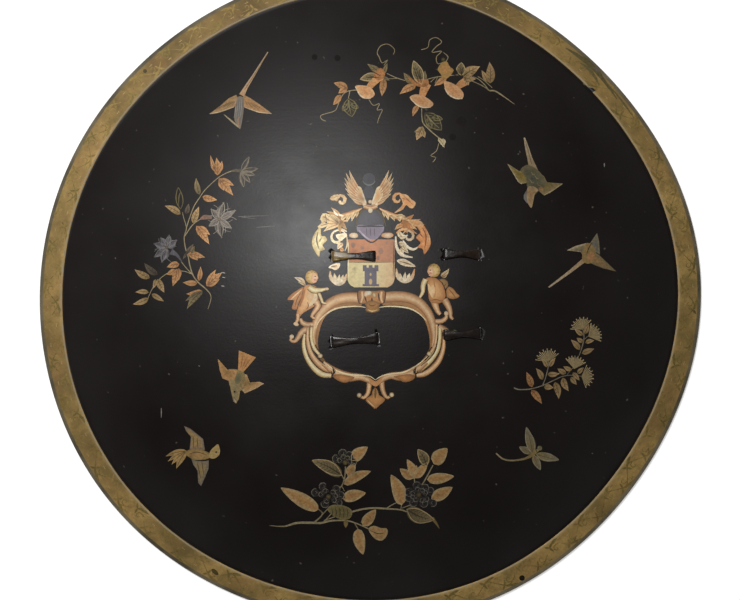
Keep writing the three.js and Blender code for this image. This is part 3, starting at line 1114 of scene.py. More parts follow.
        def place(u, v):
            angle = 2 * math.pi * u
            reach = v * (1 - depth + depth * abs(math.cos(petals * angle / 2)))
            x, y = rx * reach * math.cos(angle), ry * reach * math.sin(angle)
            return centre[0] + x * cos - y * sin, centre[1] + x * sin + y * cos

        self.film((steps, 3), place, lambda u, v: tint(v, u), layer, finish)

    def curl(self, centre, radius, start, turn, widths, colours, layer=2, finish=GOLD, close=0.3):
        """A spiral stroke: from the start angle, through the turn, in towards its middle."""
        points = []
        steps = max(6, round(abs(turn) / 30))
        for i in range(steps + 1):
            share = i / steps
            angle = math.radians(start + turn * share)
            reach = radius * mix(1, close, share)
            points.append(polar(centre, reach, angle))
        self.stroke(points, widths, colours, layer, finish)

    def finish(self):
        """Gives the films their thickness and makes them one piece."""
        depth = self.sizes.film_thickness / MM
        faces = list(self.bm.faces)
        made = bmesh.ops.extrude_face_region(self.bm, geom=faces, use_keep_orig=True)["geom"]
        fresh = [item for item in made if isinstance(item, bmesh.types.BMVert)]
        bmesh.ops.translate(self.bm, verts=fresh, vec=(0, 0, -depth))
        bmesh.ops.recalc_face_normals(self.bm, faces=self.bm.faces)
        finish_piece(self.name, self.bm, paint_materials(), shade_smooth=False)


# The arms


ORANGE = "#D9985F"
DEEP_ORANGE = "#B4713F"
PALE_GOLD = "#E6D0A2"
CREAM = "#F3E3C4"
SOFT_GOLD = "#DBB483"
FLESH = "#F3C58C"
BROWN_GOLD = "#9A7442"
OLIVE = "#6B5A34"
UMBER = "#2E2014"
STEM_GOLD = "#B3A27C"
DUSTY_GOLD = "#A0947E"
SHADOW = "#17110D"
BAND = ("#8F6238", "#DDA36E", "#F3D2A4", "#DFA873", "#93653C")
PALE_BAND = ("#A5824C", "#EBCB8B", "#FFF1C8", "#EFD193", "#A8834C")


def paint_wing(art, side):
    """One wing of the crest: side is -1 for the left and 1 for the right."""
    middle = 369
    feathers = (
        ((8.9, 36.6), (19.9, 14.8), 3.6), ((10.2, 38), (23.2, 17.6), 3.4),
        ((10.8, 39.6), (24.8, 22.4), 3.4), ((10.8, 41.4), (24.9, 27.6), 3.4),
        ((9.6, 43.6), (24, 33), 3.6), ((7.8, 46), (22.4, 38.4), 3.8), ((5.4, 48.8), (17.6, 43.4), 4.6),
    )
    body = (
        (7.6, 33), (11.6, 31.4), (14, 37), (13, 42.6), (8.6, 47.6), (3.2, 50.4), (2.8, 46.4), (5.4, 40.4),
    )

    def at(x, y):
        return middle + side * x, 155 + y

    art.blob([at(x, y) for x, y in body], (ORANGE, SOFT_GOLD, PALE_GOLD), 3, PIGMENT)
    for base, tip, width in feathers:
        art.leaf(at(*base), at(*tip), width, (ORANGE, PALE_GOLD), 0.05 * side, DEEP_ORANGE, 2, PIGMENT)
    art.stroke([at(6.4, 38), at(4.4, 44), at(3.4, 49.6)], 1.3, CREAM, 4, PIGMENT)
    art.stroke([at(13.4, 39), at(9.6, 44.6), at(5.6, 48.6)], 1, SOFT_GOLD, 4, PIGMENT)


def paint_helm(art):
    """The closed helm with its crown and a plain dark knob as the crest."""
    art.disc((369, 179.2), 6.4, ("#35333A", "#3B393E"), 2, LINE)
    art.curl((369, 178.6), 6.6, 20, 140, (0.5, 1.5, 0.5), "#6B7068", 3, LINE, 1)
    art.blob(path(3664, 1859, 3717, 1859, 3753, 1957, 3705, 1981, 3623, 1957), "#3A383E", 2, LINE)
    dome = path(3572, 2258, 3584, 2175, 3629, 2110, 3702, 2083, 3776, 2110, 3825, 2175, 3835, 2258, 3702,
        2305)
    art.blob(dome, ("#57555C", "#5E5A60", "#4A474C"), 2, LINE)
    art.stroke(path(3558, 2270, 3579, 2163, 3631, 2102, 3702, 2081), (0.7, 1, 0.8), OLIVE, 3)
    art.stroke(path(3702, 2081, 3777, 2105, 3832, 2175, 3860, 2265), (0.8, 1, 0.7), OLIVE, 3)
    visor = path(3567, 2265, 3605, 2248, 3702, 2258, 3801, 2248, 3841, 2265, 3825, 2335, 3782, 2382, 3716,
        2428, 3643, 2383, 3584, 2331)
    art.blob(visor, ("#8B7F8B", "#8A7C88", "#9A8E9C"), 3, PIGMENT, centre=(370.4, 231.7))
    art.line(path(3574, 2263, 3702, 2263, 3836, 2263), (1.2, 1.6, 1.2), "#3A3036", 4)
    art.line(path(3579, 2317, 3643, 2383, 3716, 2425, 3784, 2381, 3829, 2317), 1.5, "#2C2326", 4)
    art.stroke(path(3593, 2305, 3652, 2366, 3707, 2402), 1.3, "#C9BCC8", 5, PIGMENT)
    for x in (366.4, 370.2, 374.2):
        art.line([(x, 227.9), (x + 0.5, 236.4)], 0.8, "#5B5158", 5)
    art.band(path(3636, 2060, 3702, 2076, 3773, 2060), (4.2, 5.4, 4.2), BAND, 4)
    for spot in path(3643, 2043, 3702, 2017, 3766, 2043):
        art.disc(spot, 1.9, (CREAM, SOFT_GOLD), 5, PIGMENT)
    art.disc((370.4, 210.5), (2.2, 2.4), (CREAM, PALE_GOLD), 5, PIGMENT)
    art.line(path(3640, 2055, 3702, 2067, 3768, 2055), 0.8, DEEP_ORANGE, 5)


def paint_scrolls(art):
    """The leafy mantling on both sides of the helm and the shield of arms."""
    # small scrolls at the top
    art.curl((340.9, 200.5), 5.9, -140, 320, (1, 3.2, 3.4, 2.2, 0.8), (SOFT_GOLD, PALE_GOLD), 3)
    art.blob(path(3298, 1989, 3322, 1956, 3376, 1944, 3405, 1963, 3383, 1989, 3369, 2017, 3350, 2003,
        3331, 2008), (PALE_GOLD, SOFT_GOLD), 2)
    art.line(path(3327, 1982, 3357, 1970, 3388, 1965), 0.8, BROWN_GOLD, 4)
    art.disc((340, 202), 1.6, (CREAM, SOFT_GOLD), 4)
    art.curl((398, 198.9), 6.1, -40, -320, (1, 3, 3.2, 2.2, 0.8), (ORANGE, SOFT_GOLD), 3)
    art.blob(path(3994, 1944, 4065, 1946, 4108, 1989, 4157, 2027, 4131, 2081, 4091, 2076, 4065, 2050,
        4035, 2069, 4023, 2012), (ORANGE, "#E3A26A", SOFT_GOLD), 2)
    art.stroke(path(4039, 2050, 4011, 2088, 3947, 2128), (3.4, 3, 0.8), (ORANGE, SOFT_GOLD), 2)
    art.line(path(4018, 1982, 4065, 1994, 4112, 2029), 0.9, DEEP_ORANGE, 4)
    art.line(path(4037, 1963, 4084, 1998, 4129, 2050), 0.7, BROWN_GOLD, 4)
    # upper leaves from the crown
    left_top = path(3619, 2083, 3546, 2121, 3475, 2149, 3400, 2166, 3336, 2173)
    art.band(left_top, (1, 5, 5.6, 5, 2), BAND, 2, GOLD)
    for base, tip in (path(3558, 2123, 3518, 2213), path(3511, 2140, 3468, 2225),
            path(3463, 2154, 3405, 2222), path(3581, 2112, 3563, 2175)):
        art.leaf(base, tip, 3.6, (SOFT_GOLD, PALE_GOLD), 0.1, BROWN_GOLD, 3)
    art.stroke(path(3336, 2105, 3364, 2140, 3435, 2159), (0.6, 2.6, 1), CREAM, 4)
    right_top = path(3794, 2083, 3867, 2128, 3947, 2163, 4030, 2182, 4101, 2211)
    art.band(right_top, (1, 4.4, 5.2, 4.4, 3.4), BAND, 2, GOLD)
    for base, tip in (path(3853, 2128, 3884, 2201), path(3900, 2147, 3947, 2211),
            path(3959, 2168, 4056, 2163), path(3829, 2109, 3843, 2173), path(3983, 2175, 4001, 2218)):
        art.leaf(base, tip, 3.4, (SOFT_GOLD, PALE_GOLD), -0.1, BROWN_GOLD, 3)
    # cut leaves under them
    art.blob(path(3223, 2142, 3265, 2133, 3305, 2168, 3350, 2163, 3357, 2218, 3320, 2241, 3265, 2265,
        3204, 2284, 3176, 2265, 3218, 2227, 3202, 2187), (BROWN_GOLD, SOFT_GOLD, PALE_GOLD), 3)
    for a, b in (path(3230, 2163, 3298, 2206), path(3204, 2258, 3289, 2234),
            path(3251, 2140, 3265, 2211)):
        art.line([a, b], (0.4, 1.2, 0.5), BROWN_GOLD, 4)
    art.disc((326.3, 222.4), 1, UMBER, 5, LINE)
    art.band(path(3357, 2211, 3416, 2211, 3475, 2206), (3.4, 3.6, 1), BAND, 2, GOLD)
    art.blob(path(4077, 2211, 4136, 2197, 4207, 2211, 4237, 2258, 4171, 2265, 4119, 2246),
        (ORANGE, SOFT_GOLD), 3)
    art.leaf((403, 224.6), (394.7, 229.8), 4.4, (ORANGE, SOFT_GOLD), 0.1, BROWN_GOLD, 3)
    art.leaf((410.1, 223.4), (414.8, 229.1), 3.4, (ORANGE, SOFT_GOLD), 0.1, BROWN_GOLD, 3)
    for tip in path(3220, 2134, 3274, 2140, 3194, 2196, 3178, 2266, 3234, 2316, 3330, 2148):
        art.leaf((339, 224.4), tip, 5.4, (SOFT_GOLD, PALE_GOLD), 0.08, BROWN_GOLD, 4)
    for tip in path(3310, 2074, 3262, 2114, 3404, 2336, 3470, 2296):
        art.leaf((341, 220), tip, 4.2, (BROWN_GOLD, SOFT_GOLD), 0.08, DEEP_ORANGE, 3)
    for tip in path(4080, 2336, 4140, 2144, 4210, 2190, 4250, 2244, 4176, 2340):
        art.leaf((402, 221), tip, 4.6, (DEEP_ORANGE, ORANGE), 0.08, BROWN_GOLD, 2)
    # outer crescent leaves
    left_leaf = path(3204, 2274, 3147, 2331, 3119, 2418, 3138, 2494, 3190, 2567, 3202, 2513, 3249, 2494,
        3225, 2449, 3270, 2404, 3249, 2362, 3211, 2355)
    art.blob(left_leaf, ("#DCCB98", "#E6D6A8", "#C4AC78"), 3, centre=(318.5, 241.1), rings=4)
    art.line(path(3180, 2317, 3166, 2402, 3192, 2494), (0.5, 1.5, 0.5), "#6F623A", 4)
    art.line(path(3216, 2376, 3192, 2418), (0.4, 1.2, 0.4), "#8A7A4A", 4)
    right_leaf = path(4183, 2206, 4252, 2272, 4296, 2364, 4306, 2449, 4245, 2543, 4226, 2489, 4174, 2473,
        4207, 2425, 4160, 2376, 4207, 2317, 4169, 2265)
    art.blob(right_leaf, ("#E0965C", "#E3A067", "#C98450"), 3, centre=(424.7, 238.8), rings=4)
    art.line(path(4228, 2281, 4261, 2364, 4247, 2482), (0.5, 1.5, 0.5), "#8A4F2A", 4)
    art.line(path(4195, 2333, 4233, 2376), (0.4, 1.2, 0.4), "#8A4F2A", 4)
    art.stroke(path(4266, 2305, 4296, 2388, 4285, 2470), (0.4, 1.6, 0.4), "#EDBB86", 4)
    # inner scrolls
    art.curl((337.6, 238.1), 9.4, -20, -340, (0.8, 1.8, 2.4, 2.8, 1.4), (CREAM, PALE_GOLD), 3, close=0.25)
    art.blob(path(3357, 2348, 3405, 2338, 3459, 2329, 3471, 2364, 3440, 2383, 3414, 2409, 3376, 2390),
        (PALE_GOLD, CREAM), 3)
    art.stroke(path(3379, 2284, 3423, 2296, 3468, 2315), (0.8, 2.4, 1), (SOFT_GOLD, CREAM), 3)
    art.leaf((342.8, 243), (337.6, 249.4), 5.2, (SOFT_GOLD, CREAM), 0.1, BROWN_GOLD, 3)
    art.leaf((340.5, 248.2), (344, 250.8), 4, (ORANGE, SOFT_GOLD), 0.1, BROWN_GOLD, 3)
    art.stroke(path(3468, 2364, 3473, 2447, 3449, 2508), (0.8, 1.6, 0.8), PALE_GOLD, 3)
    art.curl((408.6, 236.4), 6.6, -160, 400, (1, 2.2, 2.6, 2.2, 1), (SOFT_GOLD, CREAM), 3, close=0.25)
    art.stroke(path(3964, 2333, 4011, 2296, 4077, 2291), (1.4, 2.6, 1.4), (ORANGE, SOFT_GOLD), 3)
    art.stroke(path(3957, 2364, 3966, 2470, 4018, 2548, 4127, 2574), (1.2, 2.8, 3.2, 1), CREAM, 3)
    art.stroke(path(4030, 2404, 4077, 2470, 4136, 2494, 4186, 2466), (1, 2.6, 2.4, 0.8), CREAM, 3)
    art.band(path(3968, 2266, 4034, 2230, 4106, 2248, 4166, 2294), (1, 3.4, 3.4, 1), BAND, 2, GOLD)
    art.line(path(3984, 2418, 4020, 2486, 4086, 2526), (0.3, 0.8, 0.3), BROWN_GOLD, 5)
    for base, tip in (path(3987, 2364, 4070, 2357), path(3985, 2428, 4058, 2437),
            path(4030, 2447, 4086, 2532), path(4006, 2482, 4037, 2536), path(3983, 2317, 4037, 2376)):
        art.leaf(base, tip, 5.2, (PALE_GOLD, CREAM), 0.1, BROWN_GOLD, 3)
    # lower leaves and half moons
    art.blob(path(3284, 2676, 3327, 2642, 3400, 2633, 3388, 2680, 3353, 2701, 3320, 2687),
        (SOFT_GOLD, CREAM), 3)
    art.line(path(3310, 2668, 3369, 2657), (0.4, 1, 0.4), OLIVE, 4)
    art.stroke(path(3303, 2711, 3308, 2777, 3376, 2834, 3440, 2808, 3466, 2739), (1, 3.6, 5, 4, 1.2),
        (SOFT_GOLD, CREAM, SOFT_GOLD), 3)
    for base, tip in (path(3357, 2815, 3343, 2730), path(3381, 2824, 3395, 2744),
            path(3412, 2817, 3433, 2746)):
        art.leaf(base, tip, 3.4, (CREAM, PALE_GOLD), 0, None, 4)
    art.blob(path(3968, 2602, 4035, 2588, 4103, 2621, 4157, 2666, 4077, 2666, 4006, 2645),
        (SOFT_GOLD, CREAM), 3)
    art.line(path(3990, 2612, 4065, 2631, 4124, 2654), (0.4, 1.1, 0.4), OLIVE, 4)
    art.stroke(path(3964, 2685, 3978, 2765, 4046, 2808, 4117, 2777, 4145, 2690), (1, 4, 5, 3.8, 1.2),
        (SOFT_GOLD, CREAM, ORANGE), 3)
    for base, tip in (path(4011, 2796, 3997, 2730), path(4042, 2801, 4053, 2718),
            path(4077, 2791, 4098, 2730)):
        art.leaf(base, tip, 3.2, (CREAM, PALE_GOLD), 0, None, 4)
    art.blob(path(3492, 2364, 3506, 2333, 3563, 2329, 3581, 2364, 3546, 2383), (CREAM, SOFT_GOLD), 3,
        PIGMENT)
    art.blob(path(3815, 2364, 3836, 2331, 3912, 2329, 3935, 2357, 3888, 2383), (CREAM, ORANGE), 3,
        PIGMENT)


def paint_escutcheon(art):
    """The shield of arms, orange over pale gold, with a plain tower on the lower half."""
    left, right, top, parting, foot = 347.5, 394.5, 239.4, 262.3, 287.7
    corner = 9.5

    def side_at(y):
        gone = max(0, y - (foot - corner)) / corner
        return corner * (1 - math.sqrt(max(0, 1 - gone * gone)))

    def field(y0, y1, grow=0):
        def place(u, v):
            y = mix(y0 - grow, y1 + grow, v)
            inset = side_at(min(y, foot))
            return mix(left + inset - grow, right - inset + grow, u), y

        return place

    art.film((14, 20), field(top, foot, 1.3), art.shade(SHADOW), 2, LINE)
    warm = art.shade(("#C98458", "#D8946A", "#C08A68"))
    art.film((16, 10), field(top, parting), warm, 3, PIGMENT)
    pale = art.shade(("#F0DCA0", "#F8E6AC", "#F0C896"))
    art.film((16, 14), field(parting, foot - 0.4), pale, 3, PIGMENT)
    art.line([(left, parting), (right, parting)], 0.8, "#7A5A2C", 4)
    for x, y, r in ((353, 245, 2.2), (362, 248, 1.8), (381, 251, 2.6), (387, 243, 1.6), (378, 258, 1.8)):
        art.disc((x, y), (r, r * 1.3), ("#9C807C", "#B9845F"), 4, PIGMENT)
    art.stroke([(left + 1, top + 3), (left + 1, parting), (left + 1.4, foot - 9)], 1, "#F6EBC0", 4,
        PIGMENT)
    art.stroke([(right - 1, top + 3), (right - 1, parting), (right - 1.4, foot - 9)], 0.9, "#8A5A34", 4)
    tower = "#6E6672"
    art.film((6, 8), lambda u, v: (mix(364.6, 376.6, u), mix(270.4, 285, v)), art.shade(tower), 4, LINE)
    art.film((6, 2), lambda u, v: (mix(362.8, 378.4, u), mix(267.6, 271.2, v)), art.shade(tower), 4, LINE)
    art.film((6, 2), lambda u, v: (mix(362.6, 379, u), mix(284, 286.4, v)), art.shade(tower), 4, LINE)
    for x in (362.8, 368.7, 374.6):
        art.film((2, 2), lambda u, v: (x + 3.8 * u, mix(265.2, 268, v)), art.shade(tower), 4, LINE)
    art.disc((370.6, 281.6), (1.7, 3), "#CDB079", 5, PIGMENT)
    art.disc((370.6, 274.4), (1, 1.5), "#CDB079", 5, PIGMENT)


# The frame below the arms


def paint_frame(art):
    """The open strapwork frame with its keystone, scrolls and pendant."""
    dark = ("#241A10",)
    arches = (
        (path(3584, 2979, 3487, 2977, 3393, 2992, 3310, 3029, 3245, 3086, 3192, 3151, 3159, 3224, 3140,
         3304, 3133, 3375, 3147, 3446), (10.6, 10.8, 10.6, 10, 9.2, 8.4, 7.4, 6.2, 5, 3.4)),
        (path(3848, 2974, 3971, 2965, 4089, 2980, 4183, 3023, 4254, 3092, 4299, 3165, 4325, 3245, 4339,
         3328, 4341, 3387, 4325, 3469), (10.6, 10.8, 10.6, 10, 9.2, 8.4, 7.4, 6.2, 5, 3.4)),
    )
    for points, widths in arches:
        art.line(points, [w + 1.8 for w in widths], dark, 1)
        art.band(points, widths, BAND, 2)
    bevels = (
        (path(3617, 3033, 3487, 3029, 3381, 3046, 3296, 3090, 3230, 3153, 3192, 3233, 3169, 3328, 3161,
         3422, 3176, 3493), (5.6, 5.8, 6, 5.8, 5.4, 4.8, 4.2, 3.4, 2)),
        (path(3825, 3028, 3959, 3021, 4077, 3039, 4174, 3082, 4242, 3146, 4285, 3233, 4308, 3328, 4315,
         3422, 4304, 3493), (5.6, 5.8, 6, 5.8, 5.4, 4.8, 4.2, 3.4, 2)),
    )
    for points, widths in bevels:
        art.stroke(points, widths, ("#A97848", "#C9935C", "#9A6C3E"), 1, PIGMENT)
    for under in (
        path(3102, 3245, 3093, 3387, 3128, 3528, 3199, 3637, 3282, 3701, 3357, 3734),
        path(4379, 3245, 4384, 3387, 4348, 3528, 4278, 3630, 4195, 3696, 4124, 3734),
    ):
        art.stroke(under, (9.5, 12.5, 13, 12.5, 11, 8), "#8A6236", 0, PIGMENT)
    bands = (
        (path(3046, 3340, 3039, 3446, 3067, 3564, 3133, 3670, 3218, 3738, 3312, 3755),
         (2, 4.2, 5, 5.6, 6.4, 4.6), PALE_BAND),
        (path(3081, 3281, 3077, 3387, 3102, 3505, 3161, 3606, 3239, 3677, 3327, 3712),
         (3.4, 4.6, 5.4, 6, 6.4, 5), BAND),
        (path(3117, 3245, 3112, 3375, 3138, 3474, 3195, 3547), (3, 3.8, 3.8, 2.6), PALE_BAND),
        (path(4438, 3351, 4433, 3481, 4391, 3602, 4318, 3687, 4237, 3736, 4162, 3750),
         (2, 4.2, 5, 5.6, 6.4, 4.6), BAND),
        (path(4398, 3281, 4393, 3399, 4365, 3505, 4299, 3602, 4219, 3670, 4157, 3708),
         (3.4, 4.6, 5.4, 6, 6.4, 5), PALE_BAND),
        (path(4365, 3245, 4365, 3375, 4344, 3467, 4304, 3526), (3, 3.8, 3.8, 2.6), BAND),
        (path(3230, 3630, 3317, 3696, 3405, 3748, 3499, 3771, 3589, 3769, 3664, 3790, 3723, 3828),
         (5, 7.4, 9.6, 9, 6.6, 6, 4.4), BAND),
        (path(4266, 3618, 4183, 3682, 4089, 3741, 3994, 3762, 3912, 3757, 3839, 3781, 3782, 3828),
         (5, 7.4, 9.6, 9, 6.6, 6, 4.4), BAND),
        (path(3695, 3800, 3690, 3878, 3676, 3937, 3638, 3977, 3596, 3958), (5.4, 4.8, 4.2, 3.4, 2.6),
         BAND),
        (path(3817, 3800, 3822, 3878, 3841, 3937, 3874, 3977, 3914, 3951), (5.4, 4.8, 4.2, 3.4, 2.6),
         BAND),
    )
    for points, widths, tone in bands:
        art.line(points, [w + 1.8 for w in widths], dark, 1)
        art.band(points, widths, tone, 3)
    grooves = (
        path(3102, 3245, 3093, 3375, 3126, 3507, 3187, 3595, 3251, 3649),
        path(3065, 3316, 3058, 3446, 3091, 3564, 3159, 3658, 3246, 3720, 3317, 3729),
        path(4379, 3257, 4377, 3375, 4351, 3505, 4285, 3595, 4207, 3658),
        path(4419, 3304, 4414, 3446, 4379, 3564, 4304, 3658, 4223, 3720, 4162, 3731),
    )
    for points in grooves:
        art.line(points, (0.5, 1.2, 1.2, 0.6), "#4A3520", 4)
    for spot in path(3202, 3559, 4292, 3538, 3593, 3953, 3917, 3948):
        art.disc(spot, 2.9, ("#241A10",), 3, LINE)
        art.disc(spot, 2.4, (CREAM, PALE_GOLD, BROWN_GOLD), 4, PIGMENT)
    for x, turn in ((332.4, 1), (416.2, -1)):
        art.curl((x, 371.7), 3.6, -90, 300 * turn, (0.6, 1.3, 0.8), "#33261A", 5, LINE)
        joint = [(x, 367), (x + 1.4 * turn, 371.7), (x - 0.5 * turn, 376.7)]
        art.line(joint, (0.7, 1.5, 0.7), "#33261A", 5)
    # undersides of the lower bars
    art.blob(path(3327, 3760, 3369, 3800, 3447, 3828, 3506, 3805, 3546, 3774, 3463, 3753, 3381, 3741),
        ("#D99A5E", "#C98A50", "#9A6A3C"), 4, PIGMENT)
    art.blob(path(4153, 3769, 4108, 3809, 4037, 3821, 3978, 3786, 3935, 3767, 4018, 3750, 4101, 3741),
        ("#D99A5E", "#C98A50", "#9A6A3C"), 4, PIGMENT)
    # light along the opening
    lights = (
        path(3159, 3281, 3192, 3210, 3263, 3139, 3357, 3087, 3463, 3068, 3581, 3064, 3657, 3075),
        path(3789, 3075, 3865, 3064, 3983, 3066, 4101, 3087, 4195, 3139, 4266, 3210),
        path(3239, 3618, 3322, 3682, 3405, 3722, 3511, 3748, 3617, 3753, 3699, 3764, 3754, 3800),
        path(3754, 3800, 3817, 3760, 3912, 3738, 4030, 3724, 4124, 3682, 4207, 3625, 4273, 3564),
    )
    for points in lights:
        art.stroke(points, (0.5, 1.3, 1.5, 1.2, 0.5), "#FBE3B4", 5, PIGMENT)
    # pendant
    tulip = path(3752, 3874, 3780, 3912, 3792, 3952, 3848, 3986, 3834, 4022, 3796, 4050, 3752, 4089, 3708,
        4052, 3672, 4024, 3659, 3988, 3712, 3954, 3724, 3912)
    art.blob(swollen(tulip, (375.4, 398), (0.14, 0.06)), dark, 3, LINE, centre=(375.4, 400))
    art.blob(tulip, ("#E0A061", "#D6985C", "#B07C46"), 4, PIGMENT, centre=(375.4, 400))
    art.line(path(3754, 3882, 3754, 3941, 3751, 3984), (1.2, 2.4, 1), "#6E5C3C", 5)
    art.stroke(path(3676, 4004, 3710, 4040, 3748, 4072), 0.9, "#F3D3A0", 5, PIGMENT)
    art.blob(path(3695, 3776, 3754, 3814, 3815, 3776, 3817, 3812, 3789, 3847, 3754, 3866, 3721, 3847,
        3695, 3812), ("#D99A5E", "#DCA066"), 4, PIGMENT)
    # keystone
    stone = path(3584, 2915, 3652, 2908, 3747, 2910, 3843, 2908, 3848, 2974, 3836, 3028, 3794, 3035, 3723,
        3021, 3648, 3035, 3593, 3028)
    art.blob(swollen(stone, (371.6, 0), (0.07, 0)), dark, 4, LINE, centre=(371.6, 297.4))
    art.blob(stone, ("#C9894E", "#D2945A", "#9C6A3A"), 5, PIGMENT, centre=(371.6, 297.4))
    art.band(path(3619, 2917, 3626, 2974, 3610, 3026), (3, 4, 2.4), BAND, 6)
    art.band(path(3817, 2917, 3808, 2974, 3825, 3026), (3, 4, 2.4), BAND, 6)
    art.disc((366.2, 293.9), (2, 3), (CREAM, SOFT_GOLD), 6, PIGMENT, 20)
    art.disc((369, 293.1), (2.6, 2.2), ("#FFFBE8", PALE_GOLD), 7, PIGMENT)
    art.disc((374.2, 295), (2.2, 3.2), (PALE_GOLD, BROWN_GOLD), 6, PIGMENT, -20)
    for a, b in (path(3648, 2962, 3664, 3021), path(3782, 2929, 3794, 3009),
            path(3718, 2974, 3721, 3016)):
        art.line([a, b], (0.5, 1.6, 0.5), UMBER, 7)
    drop = path(3648, 3035, 3718, 3000, 3799, 3035, 3789, 3064, 3794, 3106, 3723, 3127, 3657, 3106, 3664,
        3064)
    art.blob([(x + (x - 372.2) * 0.12, y + 0.8) for x, y in drop], dark, 5, LINE)
    art.blob(drop, ("#A9763E", "#B98446", "#8A6234"), 6, PIGMENT)
    art.stroke(path(3676, 3097, 3723, 3113, 3775, 3097), 1.2, "#E9C27F", 7, PIGMENT)
    art.line(path(3690, 3045, 3723, 3061, 3758, 3045), 1, "#5E4326", 7)
    # hooks and tails outside the frame
    hooks = (
        (path(3131, 3243, 3072, 3248, 3022, 3224, 3006, 3186), (4.8, 5.4, 4.6, 2.8), BAND),
        (path(3093, 3276, 3022, 3316, 2982, 3375, 2949, 3413, 2907, 3403, 2918, 3366),
         (6.6, 6, 4.8, 3.6, 3, 2.4), BAND),
        (path(4355, 3215, 4419, 3210, 4462, 3175, 4462, 3139), (4.8, 4.8, 4, 2.8), BAND),
        (path(4384, 3267, 4443, 3297, 4497, 3328, 4549, 3335), (6, 6.4, 4, 1), BAND),
    )
    for points, widths, tone in hooks:
        art.line(points, [w + 1.6 for w in widths], dark, 1)
        art.band(points, widths, tone, 3)
    art.stroke(path(4490, 3323, 4544, 3311, 4594, 3333), (1.6, 2.6, 0.8), "#8D9064", 4)
    art.disc((446.2, 313.4), 2.2, (CREAM, SOFT_GOLD), 4, PIGMENT)
    art.disc((291.8, 336.6), 2.2, (CREAM, SOFT_GOLD), 4, PIGMENT)


# The two children beside the arms


def paint_child_left(art):
    """The left child, seen from the side, reaching towards the arms."""
    dark = "#1E150D"
    drapery = path(3039, 2870, 2963, 2908, 2897, 2957, 2876, 3000, 2937, 3005, 2918, 3082, 2968, 3092,
        2996, 3009, 3027, 2950)
    art.blob(drapery, ("#E2A56C", "#DB9A62", "#B97A46"), 2, PIGMENT, centre=(296.8, 298.6))
    art.stroke(path(3015, 2898, 2949, 2957, 2907, 2998), 1.3, "#F5D3A2", 3, PIGMENT)
    art.line(path(3006, 2929, 2968, 2998, 2949, 3073), 1.1, "#8D5C34", 3)
    art.leaf((305.3, 284.7), (294.2, 277.3), 5, (SOFT_GOLD, CREAM), 0.1, OLIVE, 2, PIGMENT)
    art.leaf((305.8, 285.1), (298.2, 282.3), 3.6, (SOFT_GOLD, PALE_GOLD), 0.1, OLIVE, 3, PIGMENT)
    body = path(3058, 2851, 3128, 2851, 3185, 2887, 3195, 2939, 3176, 3009, 3147, 3059, 3086, 3097, 3027,
        3134, 2982, 3179, 2966, 3139, 2989, 3045, 3022, 2962, 3036, 2891)
    art.blob(swollen(body, (308, 300), (0.08, 0.04)), dark, 2, LINE)
    art.blob(body, ("#F6C994", "#EDB77C", "#C98A52"), 4, PIGMENT, rings=4)
    art.stroke(path(3051, 2887, 3027, 2974, 2996, 3068), (0.8, 2.6, 1), "#C07E46", 5, PIGMENT)
    art.line(path(3062, 3092, 3086, 3064, 3074, 3021), (0.4, 1, 0.4), "#8A5830", 6)
    art.disc((310.2, 296.2), (4, 5), ("#FBD9A8", "#F0BE84"), 5, PIGMENT)
    art.stroke(path(3134, 2894, 3156, 2956, 3136, 3014, 3088, 3060), (1.4, 3.6, 4.2, 1.4), "#FCE0B2", 5,
        PIGMENT)
    leg = path(3159, 3016, 3183, 3059, 3145, 3116, 3117, 3165, 3150, 3184)
    art.line(leg, (8, 7.2, 5.4, 4, 3), dark, 5)
    art.band(leg, (6.8, 6, 4.4, 3.2, 2.2), BAND, 6)
    art.band(path(2980, 3139, 2977, 3198, 2949, 3243), (4, 3.6, 2.6), BAND, 5)
    art.disc((296.1, 324.1), (2.8, 1.8), (CREAM, FLESH), 6, PIGMENT, 20)
    far_arm = path(3187, 2929, 3213, 2988, 3228, 3028, 3263, 3033)
    art.line(far_arm, (4.4, 4, 3.4, 2.4), dark, 4)
    art.band(far_arm, (3.2, 3, 2.6, 1.8), PALE_BAND, 5)
    arm = path(3091, 2870, 3138, 2901, 3204, 2901, 3270, 2887)
    art.line(arm, (6.4, 7, 5.4, 3), dark, 6)
    art.band(arm, (5.4, 6, 4.2, 2.2), PALE_BAND, 7)
    paint_head(art, (311.7, 276.9), 1)
    art.disc((327, 288.9), (1.8, 1.4), (CREAM, FLESH), 8, PIGMENT)


def paint_head(art, centre, side):
    """A child's head with fair hair; side is the way that it looks."""
    x, y = centre
    art.disc(centre, 7.4, "#1E150D", 7, LINE)
    art.disc(centre, (6.5, 6.9), ("#EFD28E", "#E8C47C", "#A9803F"), 8, PIGMENT)
    face = [(x + side * dx, y + dy) for dx, dy in ((0.4, -3.4), (4, -3.6), (5.9, -0.6), (6.6, 1.2),
        (5.6, 3), (5, 5.2), (1.6, 6.2), (-0.8, 2.8))]
    art.blob(face, ("#FFDDB8", "#F7C79A", "#E9AF80"), 9, PIGMENT)
    art.disc((x + side * 3.6, y - 0.4), (0.9, 0.6), "#6B4227", 10, LINE)
    art.disc((x + side * 3.4, y + 2.8), (1.5, 1.1), "#E39A7C", 10, PIGMENT)
    art.line([(x + side * 4.4, y + 4), (x + side * 5.4, y + 3.8)], 0.6, "#9C4F38", 10)
    for dx, dy in ((-3.4, -3.6), (-4.6, 0.4), (-3, 3.6), (0.2, -5.2), (3.2, -5)):
        art.curl((x + side * dx, y + dy), 1.6, 0, 260, (0.3, 0.7, 0.3), "#9C7438", 10, LINE)


